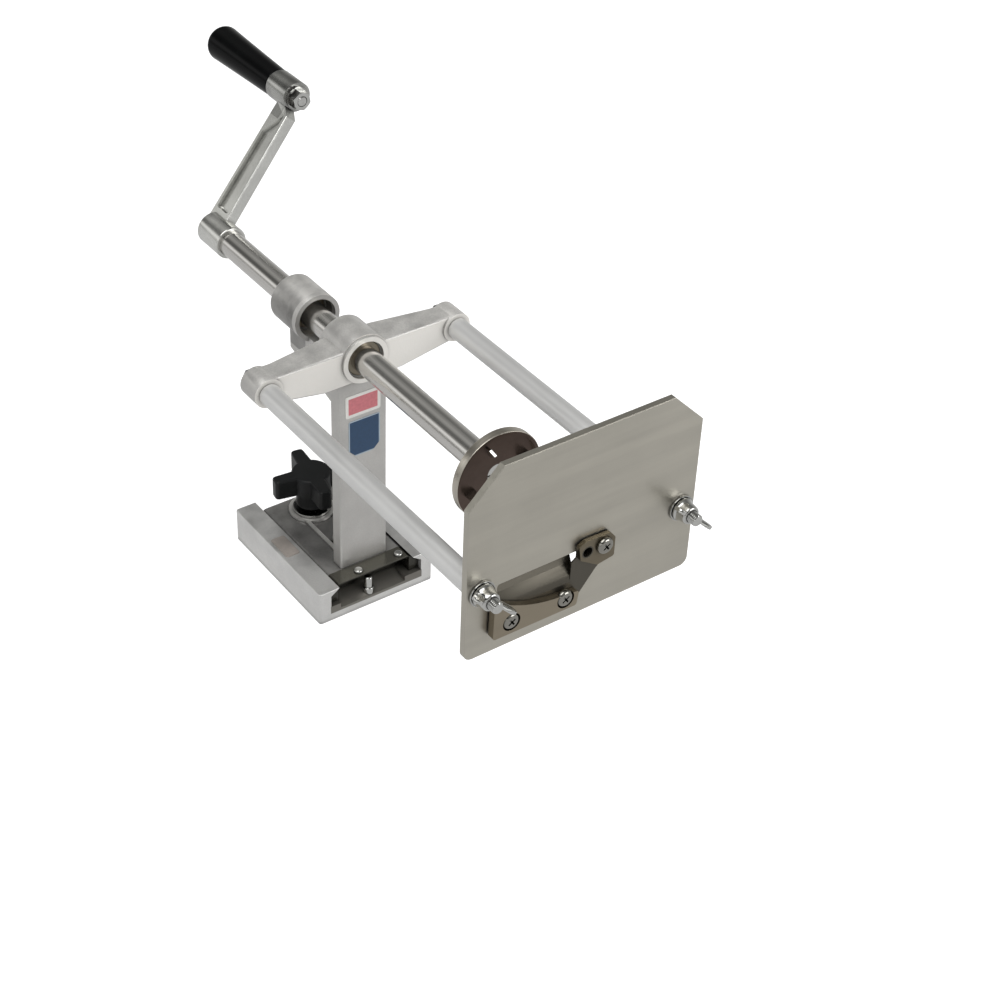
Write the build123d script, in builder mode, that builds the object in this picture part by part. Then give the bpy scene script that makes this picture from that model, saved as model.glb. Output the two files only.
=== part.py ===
from build123d import *
import os
from math import cos, radians, sin

# Hand-cranked ribbon potato cutter.
# Millimetres, +Z up, origin at the centre of the base's underside.
# -Y is the front, where the blade plate is; +Y is the rear, where the crank is.
# The drive shaft lies along Y above the origin's X.

# ---------------------------------------------------------------- named clearances
RUNNING = 0.05  # radial gap of a shaft that turns or slides in its bore
SLIP = 0.02  # radial gap of parts that are fixed once they are together
CLEAR_HOLE = 0.3  # radial gap of a bolt in a clearance hole
SLIDE_GAP = 0.3  # gap between the foot and the dovetail's walls
OVERRUN = 1.0  # how far a cut or a root runs past the face it meets

# ---------------------------------------------------------------- main layout
AXIS_Z = 200.0  # height of the shaft's axis over the table
PLATE_FRONT_Y = -283.3  # front face of the blade plate
ROD_X = 73.7  # distance of each side rod from the shaft's axis
YOKE_FRONT_Y = -44.0  # front face of the yoke's arms

# ---------------------------------------------------------------- base casting
BASE_W = 95.0
BASE_L = 118.0
BASE_H = 26.6
FLOOR_Z = 12.2  # top of the floor between the rails
SLOT_TOP_W = 62.0  # dovetail slot, between the rails' lips
SLOT_LOW_W = 76.0  # dovetail slot, at the floor
SLOT_KNEE_Z = 21.7  # height where the slot's wall turns upright
BASE_EDGE_R = 2.2  # upright corners
RAIL_EDGE_R = 0.8  # rails' upper edges
POCKET_WALL = 8.0  # underside pocket
POCKET_DEPTH = 6.0
RAMP_L = 13.0  # lead-in at the front of the floor
RAMP_DROP = 4.0
RAMP_X0 = -30.0
RAMP_X1 = 24.0
BASE_HOLE_R = 2.75  # table screws
BASE_HOLE_SINK_R = 5.2
BASE_HOLE_X = 52.0  # spacing of the table screws
BASE_HOLE_Y = 76.0
BASE_BOSS_R = 8.0

# ---------------------------------------------------------------- foot of the frame
FOOT_FRONT_Y = -55.0
FOOT_REAR_Y = 47.8
FOOT_TOP_W = 57.6
FOOT_FLANK_Z = 20.5  # height where the foot's flank turns upright
FOOT_TOE_L = 11.0  # undercut toe in front of the column
FOOT_TOE_Z = 20.0  # underside of the toe at its root
FOOT_TOE_W = 60.0
TOE_LIP_H = 1.2  # thickness of the toe's front edge
FOOT_PAD_R = 17.0  # raised pad under the knob
FOOT_PAD_H = 2.0
FOOT_RIB_W = 3.0  # low ribs from the pad to the column
FOOT_RIB_H = 1.6
FOOT_RIB_X = 11.0

# ---------------------------------------------------------------- column
COLUMN_W = 38.0
COLUMN_FRONT_Y = -42.0
COLUMN_T = 11.0
COLUMN_TOP_Z = AXIS_Z - 13.0
COLUMN_EDGE_R = 1.2
RIB_W = 15.0  # rib behind the column
RIB_DEPTH = 13.0
RIB_FLARE = 8.0  # spread of the rib at the foot
RIB_FLARE_H = 22.0
RIB_CROOK = 5.0  # turn of the rib into the beam
BEAM_REAR_Y = 40.0  # beam that carries the rear hub
BEAM_REAR_DROP = 34.0  # underside of the beam under the shaft's axis
BEAM_FRONT_DROP = 50.0
BEAM_LOW_REAR_Z = AXIS_Z - BEAM_REAR_DROP
BEAM_LOW_FRONT_Z = AXIS_Z - BEAM_FRONT_DROP

# ---------------------------------------------------------------- yoke and hubs
ARM_TOP_Z = AXIS_Z + 9.6
ARM_END_LOW_Z = AXIS_Z - 9.8
ARM_ROOT_LOW_Z = AXIS_Z - 17.4
ARM_ROOT_X = 30.0
ARM_END_T = 17.0  # arm's depth along Y at its end
ARM_ROOT_T = 24.0  # and beside the hub
ARM_EDGE_R = 1.6
END_BOSS_R = 10.6
END_BOSS_NOSE = 1.6  # how far the boss stands in front of the arm
FRONT_HUB_R = 18.6
FRONT_HUB_REAR_Y = -16.0
NOSE_R = 17.4  # turned nose of the front hub
NOSE_L = 2.2
NOSE_BORE_R = 14.0
NOSE_BORE_L = 3.0
REAR_HUB_R = 17.7
REAR_HUB_FRONT_Y = 15.0
REAR_HUB_REAR_Y = 48.5
REAR_MOUTH_R = 14.4  # open mouth in front of the rear bush
REAR_MOUTH_L = 12.0
HUB_EDGE_R = 1.2

# ---------------------------------------------------------------- shaft and bushes
SHAFT_R = 9.5
SHAFT_FRONT_Y = -192.0
SHAFT_REAR_Y = 158.5
BUSH_R = 13.0
SHAFT_CHAMFER = 1.0
BUSH_CHAMFER = 0.5

# ---------------------------------------------------------------- pusher
DISC_R = 31.5
DISC_FRONT_Y = -198.0
DISC_RIM_L = 6.0
DISC_RIM_T = 2.4
DISC_WEB_T = 3.0
DISC_HUB_R = 13.5
DISC_HUB_L = 14.0
DISC_EDGE_R = 0.7
TINE_COUNT = 4
TINE_LENGTH = 9.0  # how far a tine stands in front of the web
TINE_W = 7.0
TINE_T = 1.6
TINE_RADIUS = 21.0
TINE_ROOT = 1.5  # depth of a tine's foot in the web
TINE_HIGH_SHOULDER = 4.0  # where the outer side starts to taper
TINE_LOW_SHOULDER = 2.7  # where the inner side starts to taper
TINE_PHASE = 20.0  # degrees from the X axis to the first tine
PUSHER_SCREW_R = 4.0
PUSHER_SCREW_L = 22.0
PUSHER_HEAD_R = 6.8
COUNTERSINK = 90.0  # full angle of the screw's cone

# ---------------------------------------------------------------- crank
CRANK_THROW = 112.0
CRANK_LEAN = 40.5  # degrees from upright, towards +X
CRANK_HUB_R = 12.2
CRANK_HUB_FRONT_Y = 133.0
CRANK_HUB_REAR_Y = 160.5
ARM_W = 9.4  # crank arm's width across its lean
# crank arm's front and rear edges, at the shaft's axis and at the handle's
ARM_LOW_FRONT_Y = 144.9
ARM_HIGH_FRONT_Y = 152.5
ARM_LOW_REAR_Y = 166.0
ARM_HIGH_REAR_Y = 170.5
ARM_STEP = 97.0  # distance up the arm where its front steps back to the boss
ARM_STEP_L = 5.6
GROOVE_DEPTH = 3.0
GROOVE_START = 15.0  # distances up the arm
GROOVE_SHOULDER = 78.0
GROOVE_END = 96.0
GROOVE_RIM = 3.2  # rim on each side of the groove
GROOVE_CORNER_R = 1.6
BOSS_R = 11.2
BOSS_FRONT_Y = 159.4
BOSS_REAR_Y = 184.5
CRANK_EDGE_R = 1.0
SET_SCREW_R = 3.0
SET_SCREW_HEX_R = 1.7
SET_SCREW_HEX_DEPTH = 1.9

# ---------------------------------------------------------------- handle
SPINDLE_R = 4.0
SPINDLE_HEAD_R = 7.5
SPINDLE_HEAD_L = 4.0
SPINDLE_CHAMFER = 0.8
SPINDLE_SLOT_W = 1.4
SPINDLE_SLOT_DEPTH = 1.6
GRIP_SMALL_R = 10.8
GRIP_MIDDLE_R = 12.1
GRIP_BIG_R = 13.4
GRIP_LIP = 0.6  # bevel at the front end
GRIP_L = 85.0
GRIP_DOME = 7.0  # length of the rounded rear end
GRIP_DOME_R = 12.0  # radius part-way round the rear end
GRIP_DOME_BACK = 2.2
GRIP_GAP = 0.4  # between the grip and the crank's boss
GRIP_SINK_R = 8.2  # counterbore for the spindle's head
GRIP_SINK_L = 9.0
NUT_M8_AF = 13.0
NUT_M8_H = 6.5
WASHER_T = 1.6
SPINDLE_WASHER_R = 8.6
SPINDLE_END = 0.4  # thread that stands out of the nut
NUT_CORNER_TAPER = -60.0

# ---------------------------------------------------------------- side rods
ROD_R = 7.5
STUD_R = 4.0
STUD_IN_ROD = 16.0
STUD_OUT = 17.0  # from the plate's front face
ROD_BOLT_HEAD_H = 5.3
ROD_BOLT_IN_ROD = 14.0
ROD_BOLT_TIP_GAP = 1.0
ROD_BOLT_CHAMFER = 0.6
ROD_CHAMFER = 0.6
STUD_CHAMFER = 0.7

# ---------------------------------------------------------------- blade plate
PLATE_W = 169.0
PLATE_T = 4.4
PLATE_UP = 85.0  # upper and lower edge, from the shaft's axis
PLATE_DOWN = 48.6
PLATE_TOP_Z = AXIS_Z + PLATE_UP
PLATE_LOW_Z = AXIS_Z - PLATE_DOWN
PLATE_CHAMFER = 23.5
PLATE_LOW_R = 6.0
PLATE_EDGE_CHAMFER = 0.4
PLATE_HOLE_R = 4.4
WINDOW_X0 = -62.6
WINDOW_X1 = -2.0
WINDOW_Z0 = AXIS_Z - 21.0
WINDOW_Z1 = AXIS_Z + 0.6
WINDOW_R = 2.0

# ---------------------------------------------------------------- blade and holders
BLADE_T = 1.0
BLADE_LOW_Z = WINDOW_Z0 - 12.5
BLADE_BEND_Z = WINDOW_Z0 + 1.0
BLADE_EDGE_Z = WINDOW_Z1 - 2.0
BLADE_EDGE_Y = PLATE_FRONT_Y + PLATE_T + 2.6  # cutting edge behind the plate
BLADE_X0 = -61.8
BLADE_X1 = -6.0
# section of the bent strip: (back from the plate's front, up from the bend)
BLADE_REAR_CURVE = ((1.6, 5.5), (4.6, 10.5))
BLADE_FRONT_CURVE = ((0.7, 6.0), (3.7, 11.1))
# tab of the blade that lies under the bracket: (x, height over the shaft's axis)
TAB_OUTLINE = (
    (-11.0, -33.5),
    (-3.0, -33.5),
    (9.0, -18.5),
    (16.5, -11.0),
    (17.0, 4.6),
    (3.0, 6.6),
    (-5.8, 4.0),
    (-5.8, -3.5),
    (-9.5, -6.5),
    (-9.5, -20.0),
    (-11.0, -20.0),
)
BAR_T = 5.0
BAR_R = 1.8
BAR_OUTLINE = ((-68.0, -10.5), (-68.5, -34.8), (-7.5, -35.4), (-6.0, -25.0), (-20.0, -23.6))
BAR_CURVE = ((-20.0, -23.6), (-42.0, -19.2), (-61.0, -10.5))  # hollow upper edge
BRACKET_T = 3.0
BRACKET_R = 1.6
BRACKET_OUTLINE = (
    (-5.0, -4.5),
    (8.0, -13.0),
    (20.5, -11.0),
    (20.5, 3.0),
    (16.8, 7.6),
    (-1.5, 8.4),
    (-6.5, 5.6),
)
SCREW_R = 3.0
SCREW_HEAD_R = 5.7
SCREW_HEAD_H = 3.0
SCREW_CROSS_L = 5.6
SCREW_CROSS_W = 1.2
SCREW_CROSS_DEPTH = 1.6
SCREW_TURN = 35.0  # degrees of the cross slots
SCREW_DOME_R = 2.2
SCREW_SINK = 2.6  # depth of the heads' pockets in the bar
SCREW_SINK_GAP = 0.5  # gap round a head in its pocket
# places of the screws: (x, height over the shaft's axis)
BAR_SCREWS = ((-55.3, -26.4), (-15.8, -27.6))
BRACKET_SCREW = (12.0, 0.6)
TUBE_R = 4.2
TUBE_BORE_R = 3.4
TUBE_REAR_Y = -262.0
TUBE_EDGE_IN = 0.7  # bevel of the rear rim
TUBE_EDGE_L = 2.0

# ---------------------------------------------------------------- wing nuts
# (radius, distance out of the seat) of the round body and of one wing
NUT_OUTLINE = ((0.0, 0.0), (7.8, 0.0), (7.8, 1.6), (6.6, 3.0), (6.2, 8.6), (5.4, 9.4), (0.0, 9.4))
WING_OUTLINE = (
    (0.0, 2.0),
    (6.6, 2.6),
    (11.0, 5.2),
    (17.4, 8.6),
    (18.6, 11.6),
    (17.6, 14.2),
    (14.6, 15.0),
    (10.4, 12.8),
    (5.6, 7.8),
    (0.0, 7.8),
)
WING_H = 15.0
WING_T = 3.0
WING_CORNER_R = 0.9
PLATE_WASHER_R = 8.8
LEFT_WING_ANGLE = -38.0  # degrees of the lower wing from +X
RIGHT_WING_ANGLE = -42.0

# ---------------------------------------------------------------- clamp knob
KNOB_Y = 29.0
KNOB_TOP_Z = 62.0
KNOB_LOBE_LOW_Z = 47.0
KNOB_LOW_Z = 34.2
KNOB_CORE_R = 14.5
KNOB_SKIRT_R = 11.4
KNOB_R = 29.0
LOBE_ROOT_W = 13.0
LOBE_TIP_W = 9.4
LOBE_COUNT = 4
LOBE_PHASE = 81.0
KNOB_EDGE_R = 1.8
KNOB_CORNER_R = 2.8
KNOB_ROOT_R = 4.0
CLAMP_STUD_R = 5.0
CLAMP_STUD_TOP_Z = 52.0
CLAMP_PAD_R = 8.0
CLAMP_PAD_T = 2.5
CLAMP_STUD_CHAMFER = 0.8
CLAMP_PAD_CHAMFER = 0.4
CLAMP_WASHER_R = 14.0
CLAMP_WASHER_T = 2.0

# ---------------------------------------------------------------- front stop and toe screws
STOP_PIN_R = 3.0
STOP_PIN_TOP_Z = 22.5
STOP_PIN_X = -4.5
STOP_PIN_IN = 4.4  # distance of its axis behind the base's front
STOP_PIN_ROOT = 5.5
STOP_PIN_EDGE_R = 1.4
STOP_FOOT_R = 4.0  # collar at its foot
STOP_FOOT_TOP_Z = 13.6
STOP_FOOT_EDGE_R = 0.8
TOE_SCREW_XY = ((-10.0, -50.5), (24.0, -50.0))
TOE_HEAD_R = 3.2
TOE_HEAD_EDGE_R = 1.5
TOE_HEAD_H = 2.2
TOE_SCREW_R = 1.5
TOE_SCREW_L = 2.6

# ---------------------------------------------------------------- labels
LABEL_T = 0.25
UPPER_LABEL_W = 28.0
UPPER_LABEL_H = 17.8
UPPER_LABEL_DROP = 27.7  # its upper edge under the shaft's axis
LOWER_LABEL_W = 25.0
LOWER_LABEL_H = 29.6
LOWER_LABEL_DROP = 48.9
LOWER_LABEL_X = 0.9
LOWER_LABEL_CUT = 5.5  # cut lower corners
LABEL_R = 1.6
RAIL_PAD_L = 23.0
RAIL_PAD_W = 11.0
RAIL_PAD_T = 0.6
RAIL_PAD_Y = 1.5

# ---------------------------------------------------------------- derived places
PLATE_REAR_Y = PLATE_FRONT_Y + PLATE_T
ROD_REAR_Y = YOKE_FRONT_Y - END_BOSS_NOSE
ARM_REAR_END_Y = YOKE_FRONT_Y + ARM_END_T
NOSE_FRONT_Y = YOKE_FRONT_Y - NOSE_L
FRONT_BUSH_Y0 = NOSE_FRONT_Y + NOSE_BORE_L
REAR_BUSH_Y0 = REAR_HUB_FRONT_Y + REAR_MOUTH_L
COLUMN_REAR_Y = COLUMN_FRONT_Y + COLUMN_T
GRIP_X = CRANK_THROW * sin(radians(CRANK_LEAN))
GRIP_Z = AXIS_Z + CRANK_THROW * cos(radians(CRANK_LEAN))
GRIP_FRONT_Y = BOSS_REAR_Y + GRIP_GAP
GRIP_REAR_Y = GRIP_FRONT_Y + GRIP_L
PAD_TOP_Z = BASE_H + FOOT_PAD_H
DISC_REAR_Y = DISC_FRONT_Y + DISC_RIM_L
DISC_WEB_FRONT_Y = DISC_REAR_Y - DISC_WEB_T
SPINDLE_FRONT_Y = BOSS_FRONT_Y - WASHER_T - NUT_M8_H - SPINDLE_END
SPINDLE_HEAD_Y = GRIP_REAR_Y - GRIP_SINK_L
SET_SCREW_Y = (CRANK_HUB_FRONT_Y + CRANK_HUB_REAR_Y) / 2
SET_SCREW_L = CRANK_HUB_R - SHAFT_R
BLADE_FRONT_Y = PLATE_FRONT_Y - BLADE_T
NUT_SEAT_Y = PLATE_FRONT_Y - WASHER_T - RUNNING
CLAMP_STUD_LOW_Z = FLOOR_Z + CLAMP_PAD_T + RUNNING
RAIL_MIDDLE_X = (BASE_W + SLOT_TOP_W) / 4
RAMP_LOW_Z = FLOOR_Z - RAMP_DROP
STOP_PIN_XY = (STOP_PIN_X, -BASE_L / 2 + STOP_PIN_IN)
BAR_SEAT_Y = BLADE_FRONT_Y - BAR_T + SCREW_SINK  # face under the heads of the bar's screws
BRACKET_SEAT_Y = BLADE_FRONT_Y - BRACKET_T


def front_plane(y):
    """Upright plane that faces the front: sketch X is +X, sketch Y is +Z, its normal -Y."""
    return Plane(origin=(0, y, 0), x_dir=(1, 0, 0), z_dir=(0, -1, 0))


def side_plane(x):
    """Upright plane that faces +X: sketch X is +Y, sketch Y is +Z."""
    return Plane(origin=(x, 0, 0), x_dir=(0, 1, 0), z_dir=(1, 0, 0))


def up_arm(low, high, up):
    """Value at a distance up the crank's arm, from its values at the shaft and at the handle."""
    return low + (high - low) * up / CRANK_THROW


def over_axis(points):
    """Points given by their height over the shaft's axis, turned into points over the table."""
    return [(x, AXIS_Z + up) for x, up in points]


BAR_SCREW_PLACES = over_axis(BAR_SCREWS)
BRACKET_SCREW_PLACE = over_axis([BRACKET_SCREW])[0]
# seat of each blade screw: its place on the plate and the face under its head
BLADE_SCREW_SEATS = [(place, BAR_SEAT_Y) for place in BAR_SCREW_PLACES]
BLADE_SCREW_SEATS.append((BRACKET_SCREW_PLACE, BRACKET_SEAT_Y))


def save(name, part):
    """Label a finished piece and write it."""
    part.label = name
    export_step(part, f"parts/{name}.step")


os.makedirs("parts", exist_ok=True)

# ================================================================ base casting
with BuildPart() as base_casting:
    with BuildSketch(Plane.XY):
        RectangleRounded(BASE_W, BASE_L, BASE_EDGE_R)
    extrude(amount=BASE_H)
    fillet(base_casting.faces().sort_by(Axis.Z)[-1].outer_wire().edges(), radius=RAIL_EDGE_R)
    # dovetail slot, open at both ends
    with BuildSketch(front_plane(-BASE_L)):
        with BuildLine():
            Polyline(
                (-SLOT_TOP_W / 2, BASE_H + OVERRUN),
                (-SLOT_TOP_W / 2, BASE_H),
                (-SLOT_LOW_W / 2, SLOT_KNEE_Z),
                (-SLOT_LOW_W / 2, FLOOR_Z),
                (SLOT_LOW_W / 2, FLOOR_Z),
                (SLOT_LOW_W / 2, SLOT_KNEE_Z),
                (SLOT_TOP_W / 2, BASE_H),
                (SLOT_TOP_W / 2, BASE_H + OVERRUN),
                close=True,
            )
        make_face()
    extrude(amount=-2 * BASE_L, mode=Mode.SUBTRACT)
    # lead-in ramp at the front of the floor
    with BuildSketch(side_plane(RAMP_X0)):
        with BuildLine():
            Polyline(
                (-BASE_L / 2 - OVERRUN, FLOOR_Z + OVERRUN),
                (-BASE_L / 2 - OVERRUN, RAMP_LOW_Z),
                (-BASE_L / 2, RAMP_LOW_Z),
                (-BASE_L / 2 + RAMP_L, FLOOR_Z),
                (-BASE_L / 2 + RAMP_L, FLOOR_Z + OVERRUN),
                close=True,
            )
        make_face()
    extrude(amount=RAMP_X1 - RAMP_X0, mode=Mode.SUBTRACT)
    # pocket in the underside, with a boss for each table screw
    with BuildSketch(Plane.XY):
        RectangleRounded(BASE_W - 2 * POCKET_WALL, BASE_L - 2 * POCKET_WALL, BASE_EDGE_R)
        with GridLocations(BASE_HOLE_X, BASE_HOLE_Y, 2, 2):
            Circle(BASE_BOSS_R, mode=Mode.SUBTRACT)
    extrude(amount=POCKET_DEPTH, mode=Mode.SUBTRACT)
    with Locations(Plane.XY.offset(FLOOR_Z)):
        with GridLocations(BASE_HOLE_X, BASE_HOLE_Y, 2, 2):
            CounterSinkHole(BASE_HOLE_R, BASE_HOLE_SINK_R, depth=FLOOR_Z)
    # seat of the stop pin
    with Locations(Plane.XY.offset(FLOOR_Z)):
        with Locations(STOP_PIN_XY):
            Hole(STOP_PIN_R + SLIP, depth=STOP_PIN_ROOT)
            Hole(STOP_FOOT_R + SLIP, depth=RAMP_DROP)
save("base_casting", base_casting.part)

# ================================================================ frame casting
with BuildPart() as frame_casting:
    # foot, which fits the base's dovetail slot
    with BuildSketch(front_plane(FOOT_FRONT_Y)):
        with BuildLine():
            Polyline(
                (-FOOT_TOP_W / 2, BASE_H),
                (-SLOT_LOW_W / 2 + SLIDE_GAP, FOOT_FLANK_Z),
                (-SLOT_LOW_W / 2 + SLIDE_GAP, FLOOR_Z),
                (SLOT_LOW_W / 2 - SLIDE_GAP, FLOOR_Z),
                (SLOT_LOW_W / 2 - SLIDE_GAP, FOOT_FLANK_Z),
                (FOOT_TOP_W / 2, BASE_H),
                close=True,
            )
        make_face()
    extrude(amount=-(FOOT_REAR_Y - FOOT_FRONT_Y))
    # undercut of the toe
    with BuildSketch(side_plane(-FOOT_TOE_W / 2)):
        with BuildLine():
            Polyline(
                (FOOT_FRONT_Y - OVERRUN, FLOOR_Z),
                (FOOT_FRONT_Y - OVERRUN, BASE_H - TOE_LIP_H),
                (FOOT_FRONT_Y, BASE_H - TOE_LIP_H),
                (FOOT_FRONT_Y + FOOT_TOE_L, FOOT_TOE_Z),
                (FOOT_FRONT_Y + FOOT_TOE_L, FLOOR_Z),
                close=True,
            )
        make_face()
    extrude(amount=FOOT_TOE_W, mode=Mode.SUBTRACT)
    with BuildSketch(Plane.XY.offset(BASE_H)):
        with Locations((0, KNOB_Y)):
            Circle(FOOT_PAD_R)
    extrude(amount=FOOT_PAD_H)
    with BuildSketch(Plane.XY.offset(BASE_H)):
        with Locations((-FOOT_RIB_X, KNOB_Y), (FOOT_RIB_X, KNOB_Y)):
            Rectangle(FOOT_RIB_W, KNOB_Y - COLUMN_REAR_Y + OVERRUN, align=(Align.CENTER, Align.MAX))
    extrude(amount=FOOT_RIB_H)

    # column and the rib behind it
    with BuildSketch(Plane.XY.offset(BASE_H)):
        with Locations((0, (COLUMN_FRONT_Y + COLUMN_REAR_Y) / 2)):
            RectangleRounded(COLUMN_W, COLUMN_T, COLUMN_EDGE_R)
    extrude(amount=COLUMN_TOP_Z - BASE_H)
    with BuildSketch(side_plane(-RIB_W / 2)):
        with BuildLine():
            Polyline(
                (COLUMN_REAR_Y - OVERRUN, BASE_H - OVERRUN),
                (COLUMN_REAR_Y + RIB_DEPTH + RIB_FLARE, BASE_H - OVERRUN),
                (COLUMN_REAR_Y + RIB_DEPTH, BASE_H + RIB_FLARE_H),
                (COLUMN_REAR_Y + RIB_DEPTH, BEAM_LOW_FRONT_Z - RIB_DEPTH),
                (COLUMN_REAR_Y + RIB_DEPTH + RIB_CROOK, BEAM_LOW_FRONT_Z),
                (BEAM_REAR_Y, BEAM_LOW_REAR_Z),
                (BEAM_REAR_Y, AXIS_Z - BUSH_R),
                (COLUMN_REAR_Y - OVERRUN, AXIS_Z - BUSH_R),
                close=True,
            )
        make_face()
    extrude(amount=RIB_W)

    # hubs
    with BuildSketch(front_plane(YOKE_FRONT_Y)):
        with Locations((0, AXIS_Z)):
            Circle(FRONT_HUB_R)
    extrude(amount=-(FRONT_HUB_REAR_Y - YOKE_FRONT_Y))
    with BuildSketch(front_plane(NOSE_FRONT_Y)):
        with Locations((0, AXIS_Z)):
            Circle(NOSE_R)
    extrude(amount=-NOSE_L)
    with BuildSketch(front_plane(REAR_HUB_FRONT_Y)):
        with Locations((0, AXIS_Z)):
            Circle(REAR_HUB_R)
    extrude(amount=-(REAR_HUB_REAR_Y - REAR_HUB_FRONT_Y))
    fillet(frame_casting.edges().filter_by(GeomType.CIRCLE).sort_by(Axis.Y)[-1], radius=HUB_EDGE_R)
    for x in (-ROD_X, ROD_X):
        with BuildSketch(front_plane(ROD_REAR_Y)):
            with Locations((x, AXIS_Z)):
                Circle(END_BOSS_R)
        extrude(amount=-(ARM_REAR_END_Y - ROD_REAR_Y))

# the arms' front outline, cut to their outline from above
with BuildPart() as yoke_arms:
    with BuildSketch(front_plane(YOKE_FRONT_Y)):
        with BuildLine():
            Polyline(
                (-ROD_X, ARM_TOP_Z),
                (ROD_X, ARM_TOP_Z),
                (ROD_X, ARM_END_LOW_Z),
                (ARM_ROOT_X, ARM_ROOT_LOW_Z),
                (-ARM_ROOT_X, ARM_ROOT_LOW_Z),
                (-ROD_X, ARM_END_LOW_Z),
                close=True,
            )
        make_face()
    extrude(amount=-ARM_ROOT_T)
    with BuildSketch(Plane.XY.offset(ARM_ROOT_LOW_Z - OVERRUN)):
        with BuildLine():
            Polyline(
                (-ROD_X, YOKE_FRONT_Y),
                (ROD_X, YOKE_FRONT_Y),
                (ROD_X, ARM_REAR_END_Y),
                (ROD_X - END_BOSS_R, ARM_REAR_END_Y),
                (FRONT_HUB_R, YOKE_FRONT_Y + ARM_ROOT_T),
                (-FRONT_HUB_R, YOKE_FRONT_Y + ARM_ROOT_T),
                (-ROD_X + END_BOSS_R, ARM_REAR_END_Y),
                (-ROD_X, ARM_REAR_END_Y),
                close=True,
            )
        make_face()
    extrude(amount=ARM_TOP_Z - ARM_ROOT_LOW_Z + 2 * OVERRUN, mode=Mode.INTERSECT)
    fillet(yoke_arms.edges().filter_by(Axis.Y, reverse=True).filter_by(Axis.Z, reverse=True), ARM_EDGE_R)

with BuildPart() as frame_finished:
    add(frame_casting.part)
    add(yoke_arms.part)
    # bores of both hubs
    with BuildSketch(front_plane(NOSE_FRONT_Y)):
        with Locations((0, AXIS_Z)):
            Circle(BUSH_R + RUNNING)
    extrude(amount=-(REAR_HUB_REAR_Y - NOSE_FRONT_Y), mode=Mode.SUBTRACT)
    with BuildSketch(front_plane(NOSE_FRONT_Y)):
        with Locations((0, AXIS_Z)):
            Circle(NOSE_BORE_R)
    extrude(amount=-NOSE_BORE_L, mode=Mode.SUBTRACT)
    with BuildSketch(front_plane(REAR_HUB_FRONT_Y)):
        with Locations((0, AXIS_Z)):
            Circle(REAR_MOUTH_R)
    extrude(amount=-REAR_MOUTH_L, mode=Mode.SUBTRACT)
    # bolt holes of the side rods
    for x in (-ROD_X, ROD_X):
        with BuildSketch(front_plane(ROD_REAR_Y)):
            with Locations((x, AXIS_Z)):
                Circle(STUD_R + CLEAR_HOLE)
        extrude(amount=-(ARM_REAR_END_Y - ROD_REAR_Y), mode=Mode.SUBTRACT)
    # thread of the clamp stud and the room of its pad
    with Locations(Plane.XY.offset(PAD_TOP_Z)):
        with Locations((0, KNOB_Y)):
            Hole(CLAMP_STUD_R + RUNNING, depth=PAD_TOP_Z - FLOOR_Z)
    with BuildSketch(Plane.XY.offset(FLOOR_Z)):
        with Locations((0, KNOB_Y)):
            Circle(CLAMP_PAD_R + SLIDE_GAP)
    extrude(amount=CLAMP_PAD_T + SLIDE_GAP, mode=Mode.SUBTRACT)
    # holes of the toe screws
    with Locations(Plane.XY.offset(BASE_H)):
        with Locations(*TOE_SCREW_XY):
            Hole(TOE_SCREW_R + SLIP, depth=TOE_SCREW_L)
save("frame_casting", frame_finished.part)

# ================================================================ bushes
for bush_name, bush_y0, bush_y1 in (
    ("front_bush", FRONT_BUSH_Y0, FRONT_HUB_REAR_Y),
    ("rear_bush", REAR_BUSH_Y0, REAR_HUB_REAR_Y),
):
    with BuildPart() as bush:
        with BuildSketch(front_plane(bush_y0)):
            with Locations((0, AXIS_Z)):
                Circle(BUSH_R)
                Circle(SHAFT_R + RUNNING, mode=Mode.SUBTRACT)
        extrude(amount=-(bush_y1 - bush_y0))
        chamfer(bush.edges().filter_by(GeomType.CIRCLE).group_by(SortBy.RADIUS)[-1], length=BUSH_CHAMFER)
    save(bush_name, bush.part)

# ================================================================ drive shaft
with BuildPart() as drive_shaft:
    with BuildSketch(front_plane(SHAFT_FRONT_Y)):
        with Locations((0, AXIS_Z)):
            Circle(SHAFT_R)
    extrude(amount=-(SHAFT_REAR_Y - SHAFT_FRONT_Y))
    chamfer(drive_shaft.edges().filter_by(GeomType.CIRCLE), length=SHAFT_CHAMFER)
    with Locations(front_plane(SHAFT_FRONT_Y)):
        with Locations((0, AXIS_Z)):
            Hole(PUSHER_SCREW_R + SLIP, depth=PUSHER_SCREW_L)
save("drive_shaft", drive_shaft.part)

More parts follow.
